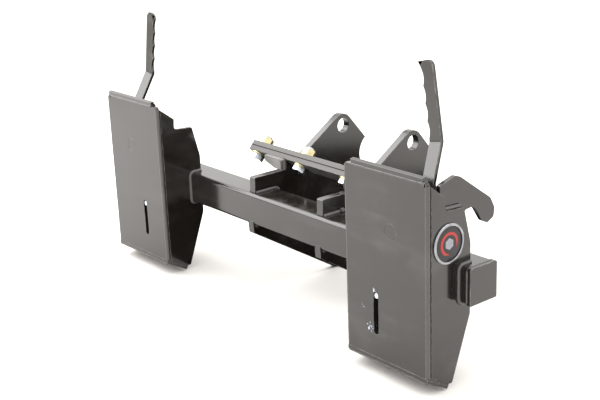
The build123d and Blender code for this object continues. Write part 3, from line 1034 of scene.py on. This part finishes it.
# --- sub-assemblies -----------------------------------------------------------------------------
@dataclass
class SubAssembly:
    """A group of pieces on one body: builds its own pieces, then dresses its CAD nodes."""

    body: str = FRAME_BODY
    easing: dict[str, float] = field(default_factory=dict)
    finishes: dict[str, str] = field(default_factory=dict)

    def ease(self, side: str, **widths: float) -> None:
        """Ease one side's nodes by widths in millimetres; a node with 0 keeps its CAD mesh."""
        self.easing = {f"{side}_{node}": width for node, width in widths.items()}

    def build(self) -> None:
        """Make the pieces that the CAD doesn't hold."""

    def dress(self) -> None:
        """Ease and finish this group's CAD nodes."""
        for node, width in self.easing.items():
            made = eased(node, width) if width else frame["nodes"][node]
            slot = SLOT_OF[node]
            finish = FINISHES[self.finishes.get(node, slot.value)]
            if width:
                made.data.materials.append(finish)
                fixed(made, self.body, slot)
            else:
                for place in made.material_slots:
                    place.material = finish


@dataclass
class LatchBox(SubAssembly):
    """One welded latch box: face, sides, foot, lip, and the wedge's guides inside."""

    side: str = "right"
    plate: float = 10.0
    corner_inset: float = 5.0
    lip_gaps: tuple[float, float] = (22.0, 11.0)
    rear_of_sides: float = 115.0
    proud: float = 1.2

    def __post_init__(self) -> None:
        """List the nodes and read the box's extent."""
        name = self.side
        self.sign = SIDES[name]
        self.ease(
            name,
            face_plate=0.9,
            top_lip=0.8,
            inner_side_plate=0.9,
            outer_side_plate=0.9,
            bottom_plate=0.9,
            wedge_guides=0.6,
            wedge_keeper=0.6,
            pivot_pin=0.7,
            pin_retainer=0.0,
        )
        self.finishes = {f"{name}_face_plate": f"{name}_face"}
        spans = [DATUM.span(f"{name}_{which}_side_plate") for which in ("inner", "outer")]
        edges = sorted(abs(value) for low, high in spans for value in (low.x, high.x))
        self.inner, self.outer = edges[0], edges[-1]
        self.height = DATUM.span(f"{name}_face_plate")[1].z

    def x(self, out: float) -> float:
        """An outward distance as an X of this side."""
        return self.sign * out

    def build(self) -> None:
        """Lay the box's seams and their spatter."""
        runs = [*self.corner_runs(), *self.foot_runs(), *self.lip_runs()]
        runs += [*self.collar_runs(), *self.inside_runs()]
        weld(f"{self.side}_box_seams", runs, self.body, 1.7 + self.sign)
        spatter(f"{self.side}_box_spatter", self.spatter_runs(), self.body, 11 + self.sign)

    def corner_runs(self) -> list[Run]:
        """The full-height seams where the face plate meets the side plates.

        Returns:
            The runs.
        """
        runs = []
        for out in (self.inner + self.corner_inset, self.outer - self.corner_inset):
            x = self.x(out)
            heights = spaced(1.0, self.height - 5.0, 12)
            runs.append(Run([(x, self.corner_inset, z) for z in heights], Seam.CORNER))
        return runs

    def foot_runs(self) -> list[Run]:
        """The ragged seam under the face plate's lower edge and those at the kick-back's ends.

        Returns:
            The runs.
        """
        front = [(self.x(out), 2.6, -9.6) for out in spaced(self.inner + 4, self.outer - 4, 16)]
        runs = [Run(front, Seam.RAGGED)]
        for out in (self.inner + 3.5, self.outer - 3.5):
            x = self.x(out)
            runs.append(Run([(x, 6.0, -4.0), (x, 30.0, -17.0), (x, 55.0, -31.5)], Seam.SMALL))
        return runs

    def lip_runs(self) -> list[Run]:
        """The seams along both sides of the lip's foot, with a glob at the outboard end.

        Returns:
            The runs.
        """
        start, end = self.inner + self.lip_gaps[0], self.outer - self.lip_gaps[1]
        xs = spaced(start + 2, end - 2, 14)
        foot = [(self.x(out), 0.9, self.height - 0.6) for out in xs]
        back = [(self.x(out), self.plate + 0.6, self.height + 0.4) for out in xs]
        glob = [(self.x(end - 5), 3.6, self.height - 1.5), (self.x(end + 3), 4.2, self.height - 3.0)]
        return [Run(foot, Seam.SMALL), Run(back, Seam.FILLET), Run(glob, Seam.HEAVY)]

    def collar_runs(self) -> list[Run]:
        """The seams round the tube at both faces of both side plates.

        Returns:
            The runs.
        """
        low, high = DATUM.span("cross_tube")
        turn = TUBE_CORNER
        outsides = (self.inner - self.proud, self.outer + self.proud)
        insides = (self.inner + self.plate + self.proud, self.outer - self.plate - self.proud)
        runs = []
        for out in sorted((*outsides, *insides)):
            x = self.x(out)
            path = [(x, self.rear_of_sides, low.z - 1.0)]
            path += arc((low.y + turn, low.z + turn), turn + self.proud, 270, 180, 5, x)
            path += arc((low.y + turn, high.z - turn), turn + self.proud, 180, 90, 5, x)
            path.append((x, self.rear_of_sides, high.z + 1.0))
            runs.append(Run(path, Seam.FILLET))
        return runs

    def inside_runs(self) -> list[Run]:
        """The fillets behind the face plate and along the wedge's guides.

        Returns:
            The runs.
        """
        y = self.plate + self.proud
        runs = []
        for out in (self.inner + y, self.outer - y):
            x = self.x(out)
            for start, end in ((12, 96), (140, 232), (278, 366)):
                runs.append(Run([(x, y, z) for z in spaced(start, end, 6)], Seam.FILLET))
        low, high = DATUM.span(f"{self.side}_wedge_guides")
        for x in (low.x - 0.8, high.x + 0.8):
            middle = (low.z + high.z) / 2
            runs.append(Run([(x, y, low.z + 6), (x, y, middle), (x, y, high.z - 4)], Seam.SMALL))
        low, high = DATUM.span(f"{self.side}_pivot_pin")
        centre = ((low.x + high.x) / 2, (low.z + high.z) / 2)
        pin_ring = ring_along_y(centre, (high.x - low.x) / 2 + 0.6, self.plate + 0.2)
        runs.append(Run(pin_ring, Seam.SMALL, closed=True))
        return runs

    def spatter_runs(self) -> list[Run]:
        """Spatter beside the seams, lying on the side plates and the face plate's back.

        Returns:
            The runs.
        """
        low, high = DATUM.span("cross_tube")
        runs = []
        for out in (self.inner, self.outer):
            x = self.x(out)
            runs.append(Run([(x, 74.0, low.z), (x, 74.0, high.z)], Seam.SMALL, lie=(0.0, -1.0, 0.0)))
            runs.append(Run([(x, 86.0, high.z + 8), (x, 110.0, high.z + 8)], Seam.SMALL, lie=(0.0, 0.0, 1.0)))
        return runs


@dataclass
class Lever(SubAssembly):
    """One locking lever: bell crank, hub, handle and crank pin."""

    side: str = "right"
    handle_lean: float = 9.6
    handle_offset: float = 61.0
    handle_half: float = 15.9

    def __post_init__(self) -> None:
        """List the nodes."""
        self.body = f"{self.side}_lever"
        self.sign = SIDES[self.side]
        self.ease(self.side, lever_plate=0.8, lever_hub=0.8, lever_handle=1.6, crank_pin=0.0)
        self.finishes = {f"{self.side}_lever_handle": "handle"}

    def build(self) -> None:
        """Weld the hub and the handle to the bell crank."""
        low, high = DATUM.span(f"{self.side}_lever_hub")
        centre = ((low.x + high.x) / 2, (low.z + high.z) / 2)
        plate_low, plate_high = DATUM.span(f"{self.side}_lever_plate")
        radius = (high.x - low.x) / 2 + 0.8
        runs = [
            Run(ring_along_y(centre, radius, plate_low.y - 0.8), Seam.SMALL, closed=True),
            Run(ring_along_y(centre, radius, plate_high.y + 0.8), Seam.SMALL, closed=True),
            *self.handle_runs(centre, plate_high.y),
        ]
        weld(f"{self.side}_lever_seams", runs, self.body, 5.1 + self.sign)

    def handle_runs(self, pivot: tuple, y: float) -> list[Run]:
        """The two fillets along the handle's foot, on the bell crank's rear face.

        Args:
            pivot: the pivot's place (x, z).
            y: the bell crank's rear face.

        Returns:
            The runs.
        """
        lean = math.radians(self.handle_lean)
        runs = []
        for edge in (-self.handle_half - 0.6, self.handle_half + 0.6):
            path = []
            for along in (14, 36, 58, 76):
                out = self.handle_offset + edge
                x = pivot[0] + self.sign * (out * math.cos(lean) - along * math.sin(lean))
                path.append((x, y + 0.6, pivot[1] + out * math.sin(lean) + along * math.cos(lean)))
            runs.append(Run(path, Seam.SMALL))
        return runs


@dataclass
class Link(SubAssembly):
    """One over-centre link: rod, coil spring and its seats."""

    side: str = "right"
    wire: float = 4.0
    pitch: float = 10.0

    def __post_init__(self) -> None:
        """List the nodes."""
        self.body = f"{self.side}_link"
        self.ease(self.side, link_rod=0.7, spring_seats=0.4)

    def build(self) -> None:
        """Wind the spring in place of its plain CAD coil."""
        node = f"{self.side}_link_spring"
        low, high = DATUM.span(node)
        radius = (high.x - low.x - self.wire) / 2
        middle = ((low.x + high.x) / 2, (low.y + high.y) / 2)
        height = high.z - low.z - self.wire
        mesh = bpy.data.meshes.new(node)
        mesh.from_pydata([DATUM.at(*middle, low.z)], [], [])
        made = grown(
            add_object(f"{node}.wound", mesh),
            "coil",
            FINISHES[Slot.SPRING.value],
            Place=DATUM.at(*middle, low.z + self.wire / 2),
            Turns=height / self.pitch,
            Coil_Radius=radius * MM,
            Wire_Radius=self.wire / 2 * MM,
            Height=height * MM,
        )
        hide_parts(node)
        fixed(made, self.body, Slot.SPRING)


@dataclass
class Wedge(SubAssembly):
    """One locking wedge with its guide pin and clevis pin."""

    side: str = "right"

    def __post_init__(self) -> None:
        """List the nodes."""
        self.body = f"{self.side}_wedge"
        self.ease(self.side, wedge=0.8, wedge_guide_pin=0.5, wedge_clevis_pin=0.5)


@dataclass
class TubeAndBracket(SubAssembly):
    """The cross tube with its caps, and the two bracket plates with their gussets."""

    bar_seat: float = 273.5
    crater_back: float = 62.0

    def __post_init__(self) -> None:
        """List the nodes."""
        self.easing = {"cross_tube": 0.0}
        self.finishes = {f"gusset_{side}": "gusset" for side in SIDES}
        for side in SIDES:
            self.easing[f"bracket_plate_{side}"] = 1.1
            self.easing[f"gusset_{side}"] = 0.7
            self.easing[f"tube_cap_{side}"] = 1.2

    def build(self) -> None:
        """Weld the plates to the tube, the caps to its ends and the gussets to the plates."""
        runs = []
        for side in SIDES:
            low, high = DATUM.span(f"bracket_plate_{side}")
            for x, away in ((low.x, -1), (high.x, 1)):
                runs.append(Run(self.round_tube(x + away * 1.2), Seam.FILLET))
            cap_low, cap_high = DATUM.span(f"tube_cap_{side}")
            seat = cap_low.x if SIDES[side] > 0 else cap_high.x
            runs.append(Run(self.full_ring(seat), Seam.SMALL, closed=True))
        runs += [*self.gusset_runs(), *self.seat_runs(), self.crater()]
        weld("bracket_seams", runs, self.body, 9.3)
        spatter("bracket_spatter", self.spatter_runs(), self.body, 23)

    def round_tube(self, x: float) -> list[Point]:
        """Over the tube's top, down its back and under it, beside a bracket plate.

        Args:
            x: the plane of the path.

        Returns:
            The path.
        """
        low, high = DATUM.span("cross_tube")
        turn, proud = TUBE_CORNER, 1.0
        path = [(x, low.y + 12, high.z + proud), (x, (low.y + high.y) / 2, high.z + proud)]
        path += arc((high.y - turn, high.z - turn), turn + proud, 90, 0, 5, x)
        path += arc((high.y - turn, low.z + turn), turn + proud, 0, -90, 5, x)
        path += [(x, (low.y + high.y) / 2, low.z - proud), (x, low.y + 5, low.z - proud)]
        return path

    def full_ring(self, x: float) -> list[Point]:
        """All the way round the tube at one of its ends.

        Args:
            x: the plane of the path.

        Returns:
            The path.
        """
        low, high = DATUM.span("cross_tube")
        turn = TUBE_CORNER
        path = []
        corners = [
            (high.y - turn, high.z - turn, 90),
            (high.y - turn, low.z + turn, 0),
            (low.y + turn, low.z + turn, -90),
            (low.y + turn, high.z - turn, -180),
        ]
        for y, z, start in corners:
            path += arc((y, z), turn - 0.9, start, start - 90, 4, x)
        return path

    def gusset_runs(self) -> list[Run]:
        """The short fillets between gussets and bracket plates.

        Returns:
            The runs.
        """
        runs = []
        for side, sign in SIDES.items():
            low, high = DATUM.span(f"gusset_{side}")
            root = high.x if sign < 0 else low.x
            for y in (low.y - 0.8, high.y + 0.8):
                x = root + sign * 0.8
                middle = (low.z + high.z) / 2
                runs.append(Run([(x, y, low.z + 3), (x, y, middle), (x, y, high.z - 3)], Seam.SMALL))
        return runs

    def seat_runs(self) -> list[Run]:
        """The fillets that join the lower bar's front edge to both bracket plates.

        Returns:
            The runs.
        """
        runs = []
        low, _ = DATUM.span("lower_bar")
        for side in SIDES:
            plate_low, plate_high = DATUM.span(f"bracket_plate_{side}")
            front = low.y - 0.5
            xs = (plate_low.x + 2, (plate_low.x + plate_high.x) / 2, plate_high.x - 2)
            runs.append(Run([(x, front, self.bar_seat) for x in xs], Seam.SMALL))
        return runs

    def crater(self) -> Run:
        """The heavy start of a seam, on the outboard side of the right bracket plate.

        Returns:
            The run.
        """
        _, high = DATUM.span("bracket_plate_right")
        low_tube, high_tube = DATUM.span("cross_tube")
        y = low_tube.y + self.crater_back
        path = [(high.x + 2.5, y - 4, high_tube.z + 2), (high.x + 3.0, y + 4, high_tube.z + 2.5)]
        return Run(path, Seam.HEAVY)

    def spatter_runs(self) -> list[Run]:
        """Spatter on the tube's top beside each bracket plate.

        Returns:
            The runs.
        """
        runs = []
        _, high = DATUM.span("cross_tube")
        for side in SIDES:
            low_plate, high_plate = DATUM.span(f"bracket_plate_{side}")
            for x, away in ((low_plate.x - 6, -1.0), (high_plate.x + 6, 1.0)):
                path = [(x, high.y - 62, high.z), (x, high.y - 14, high.z)]
                runs.append(Run(path, Seam.SMALL, lie=(away, 0.0, 0.0)))
        return runs


@dataclass
class ClampBars(SubAssembly):
    """The two clamped bars with their bolts, nuts and washers."""

    bolt_radius: float = 9.3
    thread: float = 4.4
    tilt: float = 47.0
    thick: float = 13.0

    def __post_init__(self) -> None:
        """List the nodes."""
        self.easing = {
            "lower_bar": 1.0,
            "upper_bar": 1.0,
            "bar_bolts": 0.6,
            "bar_nuts": 0.5,
            "bar_washers": 0.3,
        }

    def build(self) -> None:
        """Fill the joint between the bars and thread the bolts."""
        self.make_groove_line()
        self.make_threads()

    def make_groove_line(self) -> None:
        """A near-black thin bead laid in the groove between the two bars, along their front, which darkens
        that groove.
        """
        low, high = DATUM.span("lower_bar")
        angle = math.radians(self.tilt)
        y = low.y + self.thick * math.cos(angle) + 0.1
        z = self.front_z() + self.thick * math.sin(angle)
        front = [(x, y, z) for x in spaced(low.x + 0.6, high.x - 0.6, 24)]
        groove = path_object("bar_groove_line", [Run(front, Seam.GROOVE_LINE)])
        made = grown(groove, "bead", FINISHES["groove_dark"], Seed=3.1)
        fixed(made, self.body, Slot.MILL)

    def front_z(self) -> float:
        """Height of the lower bar's front lower edge.

        Returns:
            The height in latch millimetres.
        """
        mesh = frame["nodes"]["lower_bar"].data
        front = min(mesh.vertices, key=lambda vertex: vertex.co.y)
        return (front.co.z - DATUM.origin.z) / MM

    def make_threads(self) -> None:
        """Cut a thread on each bolt's free end, above its nut."""
        points = self.thread_feet()
        mesh = bpy.data.meshes.new("bolt_threads")
        mesh.from_pydata([point for point, _ in points], [], [])
        axes = [value for _, axis in points for value in axis]
        mesh.attributes.new("axis", "FLOAT_VECTOR", "POINT").data.foreach_set("vector", axes)
        made = grown(
            add_object("bolt_threads", mesh),
            "thread",
            FINISHES[Slot.ZINC.value],
            Length=self.thread * MM,
            Radius=self.bolt_radius * MM,
        )
        fixed(made, self.body, Slot.ZINC)

    def thread_feet(self) -> list[tuple[Vector, Vector]]:
        """Where each bolt leaves its nut, and its axis, found from the bolts' own mesh.

        Returns:
            A (foot, axis) pair for each bolt, in metres.
        """
        angle = math.radians(self.tilt)
        axis = Vector((0.0, math.cos(angle), math.sin(angle)))
        mesh = frame["nodes"]["bar_bolts"].data
        along = max(axis.dot(vertex.co) for vertex in mesh.vertices)
        tips = [v.co for v in mesh.vertices if axis.dot(v.co) > along - 1e-5]
        groups: list[list[Vector]] = []
        for tip in sorted(tips, key=lambda co: co.x):
            if groups and tip.x - groups[-1][-1].x < 0.05:
                groups[-1].append(tip)
            else:
                groups.append([tip])
        feet = []
        for group in groups:
            low = Vector(map(min, zip(*group)))
            high = Vector(map(max, zip(*group)))
            feet.append(((low + high) / 2 - axis * self.thread * MM, axis))
        return feet


@dataclass
class HookPlate(SubAssembly):
    """The hook inside the right box's outer side plate, with the seam along that plate's ledge."""

    ledge: tuple[float, float] = (52.0, 94.0)
    ledge_height: float = 329.4
    ledge_fall: float = 0.058

    def __post_init__(self) -> None:
        """List the nodes."""
        self.easing = {"hook_plate": 1.1}

    def build(self) -> None:
        """Weld the hook to the side plate's ledge."""
        _, high = DATUM.span("hook_plate")
        path = []
        for y in spaced(*self.ledge, 4):
            path.append((high.x + 1.6, y, self.ledge_height - self.ledge_fall * (y - self.ledge[0])))
        weld("hook_seam", [Run(path, Seam.FILLET)], self.body, 4.4)


@dataclass
class Badge(SubAssembly):
    """A round badge: chrome rim, dark dome, and a plain hexagon inside a broken ring."""

    rim: float = 5.5
    edge: float = 0.9
    rise: float = 2.0
    turns: int = 64
    emblem: float = 11.0
    band: tuple[float, float] = (18.0, 23.5)
    gap: float = 58.0

    def __post_init__(self) -> None:
        """List the nodes and find the badge's centre."""
        self.easing = {"badge_ring": 0.7}
        low, high = DATUM.span("badge_ring")
        self.base = low.x
        self.centre = ((low.y + high.y) / 2, (low.z + high.z) / 2)
        self.inside = (high.y - low.y) / 2 - self.rim + 0.4

    def build(self) -> None:
        """Make the dome, the band and the hexagon."""
        turns = spaced(0.0, math.pi / 2, 10)
        dome = [(self.inside * math.sin(t), self.edge + self.rise * math.cos(t)) for t in turns]
        made = self.lathe("badge_dome", [(self.inside, 0.0), *reversed(dome)])
        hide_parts("badge_disc")
        self.finish(made, "badge_dark")
        self.finish(self.broken_band(), "badge_red")
        self.finish(self.hexagon(), "badge_silver")

    def at(self, across: float, angle: float, out: float) -> Vector:
        """A point of the badge.

        Args:
            across: the distance from the centre.
            angle: the turn, in radians.
            out: the height off the plate.

        Returns:
            The point, in metres.
        """
        y = self.centre[0] + across * math.cos(angle)
        z = self.centre[1] + across * math.sin(angle)
        return DATUM.at(self.base + out, y, z)

    def lathe(self, name: str, profile: Sequence[tuple]) -> bpy.types.Object:
        """Turn a profile about the badge's axis into a closed dome.

        Args:
            name: the piece's name.
            profile: (distance, height) from the rim to the pole.

        Returns:
            The dome.
        """
        work = bmesh.new()
        rings = []
        for across, out in profile[:-1]:
            angles = [2 * math.pi * step / self.turns for step in range(self.turns)]
            rings.append([work.verts.new(self.at(across, angle, out)) for angle in angles])
        pole = work.verts.new(self.at(0.0, 0.0, profile[-1][1]))
        bridge(work, rings)
        for i in range(self.turns):
            work.faces.new((rings[-1][i], rings[-1][(i + 1) % self.turns], pole))
        work.faces.new(rings[0])
        return self.mesh_of(work, name)

    def mesh_of(self, work: bmesh.types.BMesh, name: str) -> bpy.types.Object:
        """Close a bmesh into an object with outward, smooth faces.

        Args:
            work: the bmesh, which is freed.
            name: the piece's name.

        Returns:
            The new object.
        """
        bmesh.ops.recalc_face_normals(work, faces=work.faces)
        for face in work.faces:
            face.smooth = True
        mesh = bpy.data.meshes.new(name)
        work.to_mesh(mesh)
        work.free()
        mesh.set_sharp_from_angle(angle=SMOOTH_ANGLE)
        return add_object(name, mesh)

    def dome_height(self, across: float) -> float:
        """The dome's height off the plate at a distance from its centre."""
        return self.edge + self.rise * math.sqrt(max(0.0, 1 - (across / self.inside) ** 2))

    def broken_band(self) -> bpy.types.Object:
        """A raised band round the emblem, open at one side, with tapered ends.

        Returns:
            The band.
        """
        work = bmesh.new()
        count = 56
        sections = []
        middle, half = sum(self.band) / 2, (self.band[1] - self.band[0]) / 2
        for step in range(count + 1):
            share = step / count
            angle = math.radians(self.gap / 2 - 60 + (360 - self.gap) * share)
            wide = half * min(1.0, 0.12 + 2.2 * math.sin(math.pi * share))
            section = []
            for across, lift in ((-wide, -0.3), (-wide, 0.35), (0.0, 0.75), (wide, 0.35), (wide, -0.3)):
                reach = middle + across
                section.append(work.verts.new(self.at(reach, angle, self.dome_height(reach) + lift)))
            sections.append(section)
        bridge(work, sections)
        work.faces.new(sections[0])
        work.faces.new(sections[-1])
        return self.mesh_of(work, "badge_band")

    def hexagon(self) -> bpy.types.Object:
        """A raised silver hexagon with sloping flanks and a shallow cup in its top.

        Returns:
            The hexagon.
        """
        work = bmesh.new()
        cup_edge, cup_floor = (self.emblem * 0.52, 1.3), (self.emblem * 0.46, 0.5)
        levels = ((self.emblem + 1.4, -0.4), (self.emblem, 1.1), cup_edge, cup_floor)
        rings = []
        for reach, lift in levels:
            corners = [math.radians(30 + 60 * step) for step in range(6)]
            rings.append([work.verts.new(self.at(reach, angle, 2.7 + lift)) for angle in corners])
        bridge(work, rings)
        work.faces.new(rings[0])
        work.faces.new(rings[-1])
        made = self.mesh_of(work, "badge_hexagon")
        bevel = made.modifiers.new("edges", "BEVEL")
        bevel.width = 0.35 * MM
        bevel.segments = 2
        return settled(made)

    def finish(self, made: bpy.types.Object, finish: str) -> None:
        """Give one badge piece its enamel and fix it to the frame.

        Args:
            made: the piece.
            finish: its key in FINISHES.
        """
        made.data.materials.append(FINISHES[finish])
        fixed(made, self.body, Slot.BADGE)


# --- studio -------------------------------------------------------------------------------------
@dataclass
class Studio:
    """A pale floor, soft lights, a dark card of painted shade that only reflections see, and the camera."""

    eye: Point = (1920.6, -1399.1, 996.9)
    azimuth: float = 50.73
    elevation: float = 17.75
    roll: float = -2.14
    lens: float = 67.65
    shift: tuple[float, float] = (-0.0062, -0.0056)
    sky: float = 1.8
    air: Colour = (1.0, 0.98, 0.955, 1.0)
    floor: Colour = (0.76, 0.745, 0.725, 1.0)
    floor_half: float = 30.0
    # outline of the card of painted shade, in latch millimetres (x, y)
    shade_card_outline: tuple[tuple[float, float], ...] = (
        (-420.0, 80.0),
        (290.0, 80.0),
        (1105.0, 946.0),
        (880.0, 1040.0),
        (620.0, 1300.0),
        (-420.0, 1300.0),
    )

    def build(self) -> None:
        """Make the floor, the sky, the lights, the card and the camera."""
        self.make_floor()
        self.make_sky()
        self.make_light("key", (-1.9, -1.2, 2.0), 2.8, 95.0)
        self.make_light("side", (3.0, 0.9, 1.8), 1.8, 14.0)
        self.make_light("top", (0.2, 0.8, 3.4), 2.4, 40.0)
        self.make_reflection_shade()
        self.make_camera()

    def make_floor(self) -> None:
        """A large pale floor under the lowest point, with a faint mottle."""
        low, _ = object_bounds()
        mesh = bpy.data.meshes.new("studio_floor")
        half = self.floor_half
        corners = [(-half, -half), (half, -half), (half, half), (-half, half)]
        mesh.from_pydata([(x, y, low.z - 0.0005) for x, y in corners], [], [(0, 1, 2, 3)])
        floor = add_object("studio_floor", mesh)
        surface = Surface("studio_white")
        cloud = surface.graph.noise(surface.place, 1.5, 2.0)
        dim = tuple(value * 0.985 for value in self.floor[:3]) + (1.0,)
        tone = surface.graph.blend(cloud, self.floor, dim)
        surface.graph.put(surface.shader, {"Base Color": tone, "Roughness": 0.9, "Specular IOR Level": 0.1})
        mesh.materials.append(surface.material)
        floor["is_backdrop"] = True

    def make_reflection_shade(self) -> None:
        """A black card on the floor behind the tube, which only reflections see: painted shade that stands in
        for the shaded floor behind the object.
        """
        low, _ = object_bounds()
        mesh = bpy.data.meshes.new("reflection_shade_card")
        places = [DATUM.at(x, y, 0.0) for x, y in self.shade_card_outline]
        mesh.from_pydata([(place.x, place.y, low.z) for place in places], [], [tuple(range(len(places)))])
        card = add_object("reflection_shade_card", mesh)
        surface = Surface("reflection_shade_black")
        cloud = surface.graph.noise(surface.place, 2.0, 2.0)
        tone = surface.graph.blend(cloud, (0.012, 0.012, 0.012, 1.0), (0.02, 0.019, 0.018, 1.0))
        surface.graph.put(surface.shader, {"Base Color": tone, "Roughness": 0.95, "Specular IOR Level": 0.0})
        mesh.materials.append(surface.material)
        # painted shade: the card shows only in glossy reflections
        card.visible_camera = False
        card.visible_diffuse = False
        card.visible_shadow = False
        card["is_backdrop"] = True

    def make_sky(self) -> None:
        """An even white surround."""
        world = bpy.data.worlds.new("studio_surround")
        world.use_nodes = True
        world.node_tree.nodes["Background"].inputs["Color"].default_value = self.air
        world.node_tree.nodes["Background"].inputs["Strength"].default_value = self.sky
        bpy.context.scene.world = world

    def make_light(self, name: str, place: Point, size: float, power: float) -> None:
        """One square soft light, turned to the object's middle.

        Args:
            name: the light's name.
            place: its place, in metres.
            size: the length of its side, in metres.
            power: its power, in watts.
        """
        light = bpy.data.lights.new(name, "AREA")
        light.size = size
        light.energy = power
        lamp = bpy.data.objects.new(name, light)
        lamp.location = place
        low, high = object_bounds()
        lamp.rotation_euler = ((low + high) / 2 - Vector(place)).to_track_quat("-Z", "Y").to_euler()
        bpy.context.scene.collection.objects.link(lamp)

    def make_camera(self) -> None:
        """A long lens, seen from the right front and above."""
        data = bpy.data.cameras.new("camera")
        data.lens = self.lens
        data.shift_x, data.shift_y = self.shift
        data.clip_end = 100.0
        camera = bpy.data.objects.new("camera", data)
        around, above, roll = (math.radians(v) for v in (self.azimuth, self.elevation, self.roll))
        back = Vector((
            math.sin(around) * math.cos(above),
            -math.cos(around) * math.cos(above),
            math.sin(above),
        ))
        level = Vector((math.cos(around), math.sin(around), 0.0))
        right = level * math.cos(roll) + back.cross(level) * math.sin(roll)
        turned = Matrix((right, back.cross(right), back)).transposed().to_4x4()
        camera.matrix_world = Matrix.Translation(DATUM.at(*self.eye)) @ turned
        bpy.context.scene.collection.objects.link(camera)
        bpy.context.scene.camera = camera


def right_face_chips() -> tuple[Chips, ...]:
    """Where the right face plate's paint is knocked off round its slot.

    Returns:
        The clusters.
    """
    return (
        Chips((417.0, 0.0, 142.0), 11.0, 0.86),
        Chips((402.0, 0.0, 60.0), 30.0, 0.74),
        Chips((378.0, 0.0, 98.0), 30.0, 0.56),
        Chips((441.0, 0.0, 50.0), 20.0, 0.66),
    )


SLOT_OF = {part["node"]: Slot(part["material_slot"]) for part in frame["record"]["subparts"]}
FINISHES = {
    Slot.PAINT.value: Enamel("frame_enamel").make(),
    "left_face": Enamel("face_enamel_left", smears=0.25).make(),
    "right_face": Enamel("face_enamel_right", smears=0.5, chips=right_face_chips()).make(),
    "handle": Enamel("handle_enamel", worn_edge_sheen=0.7, smears=0.5, peel=0.6).make(),
    "weld": Enamel(
        "weld_enamel", colour=(0.04, 0.038, 0.035, 1.0), gloss=0.3, peel=1.0, worn_edge_sheen=0.0, smears=0.8
    ).make(),
    Slot.MILL.value: RolledSteel("mill_scale").make(),
    "gusset": RolledSteel(
        "gusset_scale", dark=(0.2, 0.198, 0.19, 1.0), light=(0.29, 0.285, 0.275, 1.0), rough=0.5
    ).make(),
    # near-black bead that darkens the groove between the bars
    "groove_dark": RolledSteel(
        "groove_dark_line",
        dark=(0.006, 0.006, 0.006, 1.0),
        light=(0.014, 0.013, 0.012, 1.0),
        rough=0.8,
        metal=0.0,
        worn_edge_sheen=0.0,
    ).make(),
    Slot.WORN.value: RolledSteel("oiled_steel", dark=(0.05, 0.048, 0.046, 1.0), rough=0.3, metal=0.9).make(),
    Slot.ZINC.value: Plating("bright_zinc_plate").make(),
    Slot.YELLOW.value: Plating(
        "yellow_zinc_plate", clean=(0.60, 0.54, 0.31, 1.0), dull=(0.40, 0.35, 0.19, 1.0), rough=0.3
    ).make(),
    Slot.SPRING.value: Enamel(
        "spring_black", colour=(0.012, 0.012, 0.012, 1.0), gloss=0.25, dust=0.15
    ).make(),
    Slot.CHROME.value: Plating(
        "chrome_plate", clean=(0.34, 0.35, 0.37, 1.0), dull=(0.17, 0.175, 0.19, 1.0), rough=0.1
    ).make(),
    "badge_dark": BadgeEnamel("badge_dark", (0.012, 0.011, 0.012, 1.0), (0.05, 0.05, 0.055, 1.0)).make(),
    "badge_red": BadgeEnamel("badge_red", (0.34, 0.018, 0.014, 1.0), (0.52, 0.08, 0.06, 1.0)).make(),
    "badge_silver": BadgeEnamel(
        "badge_silver", (0.22, 0.225, 0.26, 1.0), (0.42, 0.43, 0.48, 1.0), rough=0.3
    ).make(),
}


def main() -> None:
    """Build and dress every sub-assembly, then light and frame it."""
    groups: list[SubAssembly] = [TubeAndBracket(), ClampBars(), HookPlate(), Badge()]
    for side in SIDES:
        groups += [LatchBox(side=side), Lever(side=side), Link(side=side), Wedge(side=side)]
    for group in groups:
        group.build()
        group.dress()
        LOG.info("%s finished on %s", type(group).__name__, group.body)
    Studio().build()
    bpy.context.scene.view_settings.view_transform = "Standard"


if __name__ == "__main__":
    logging.basicConfig(level=logging.INFO)
    main()
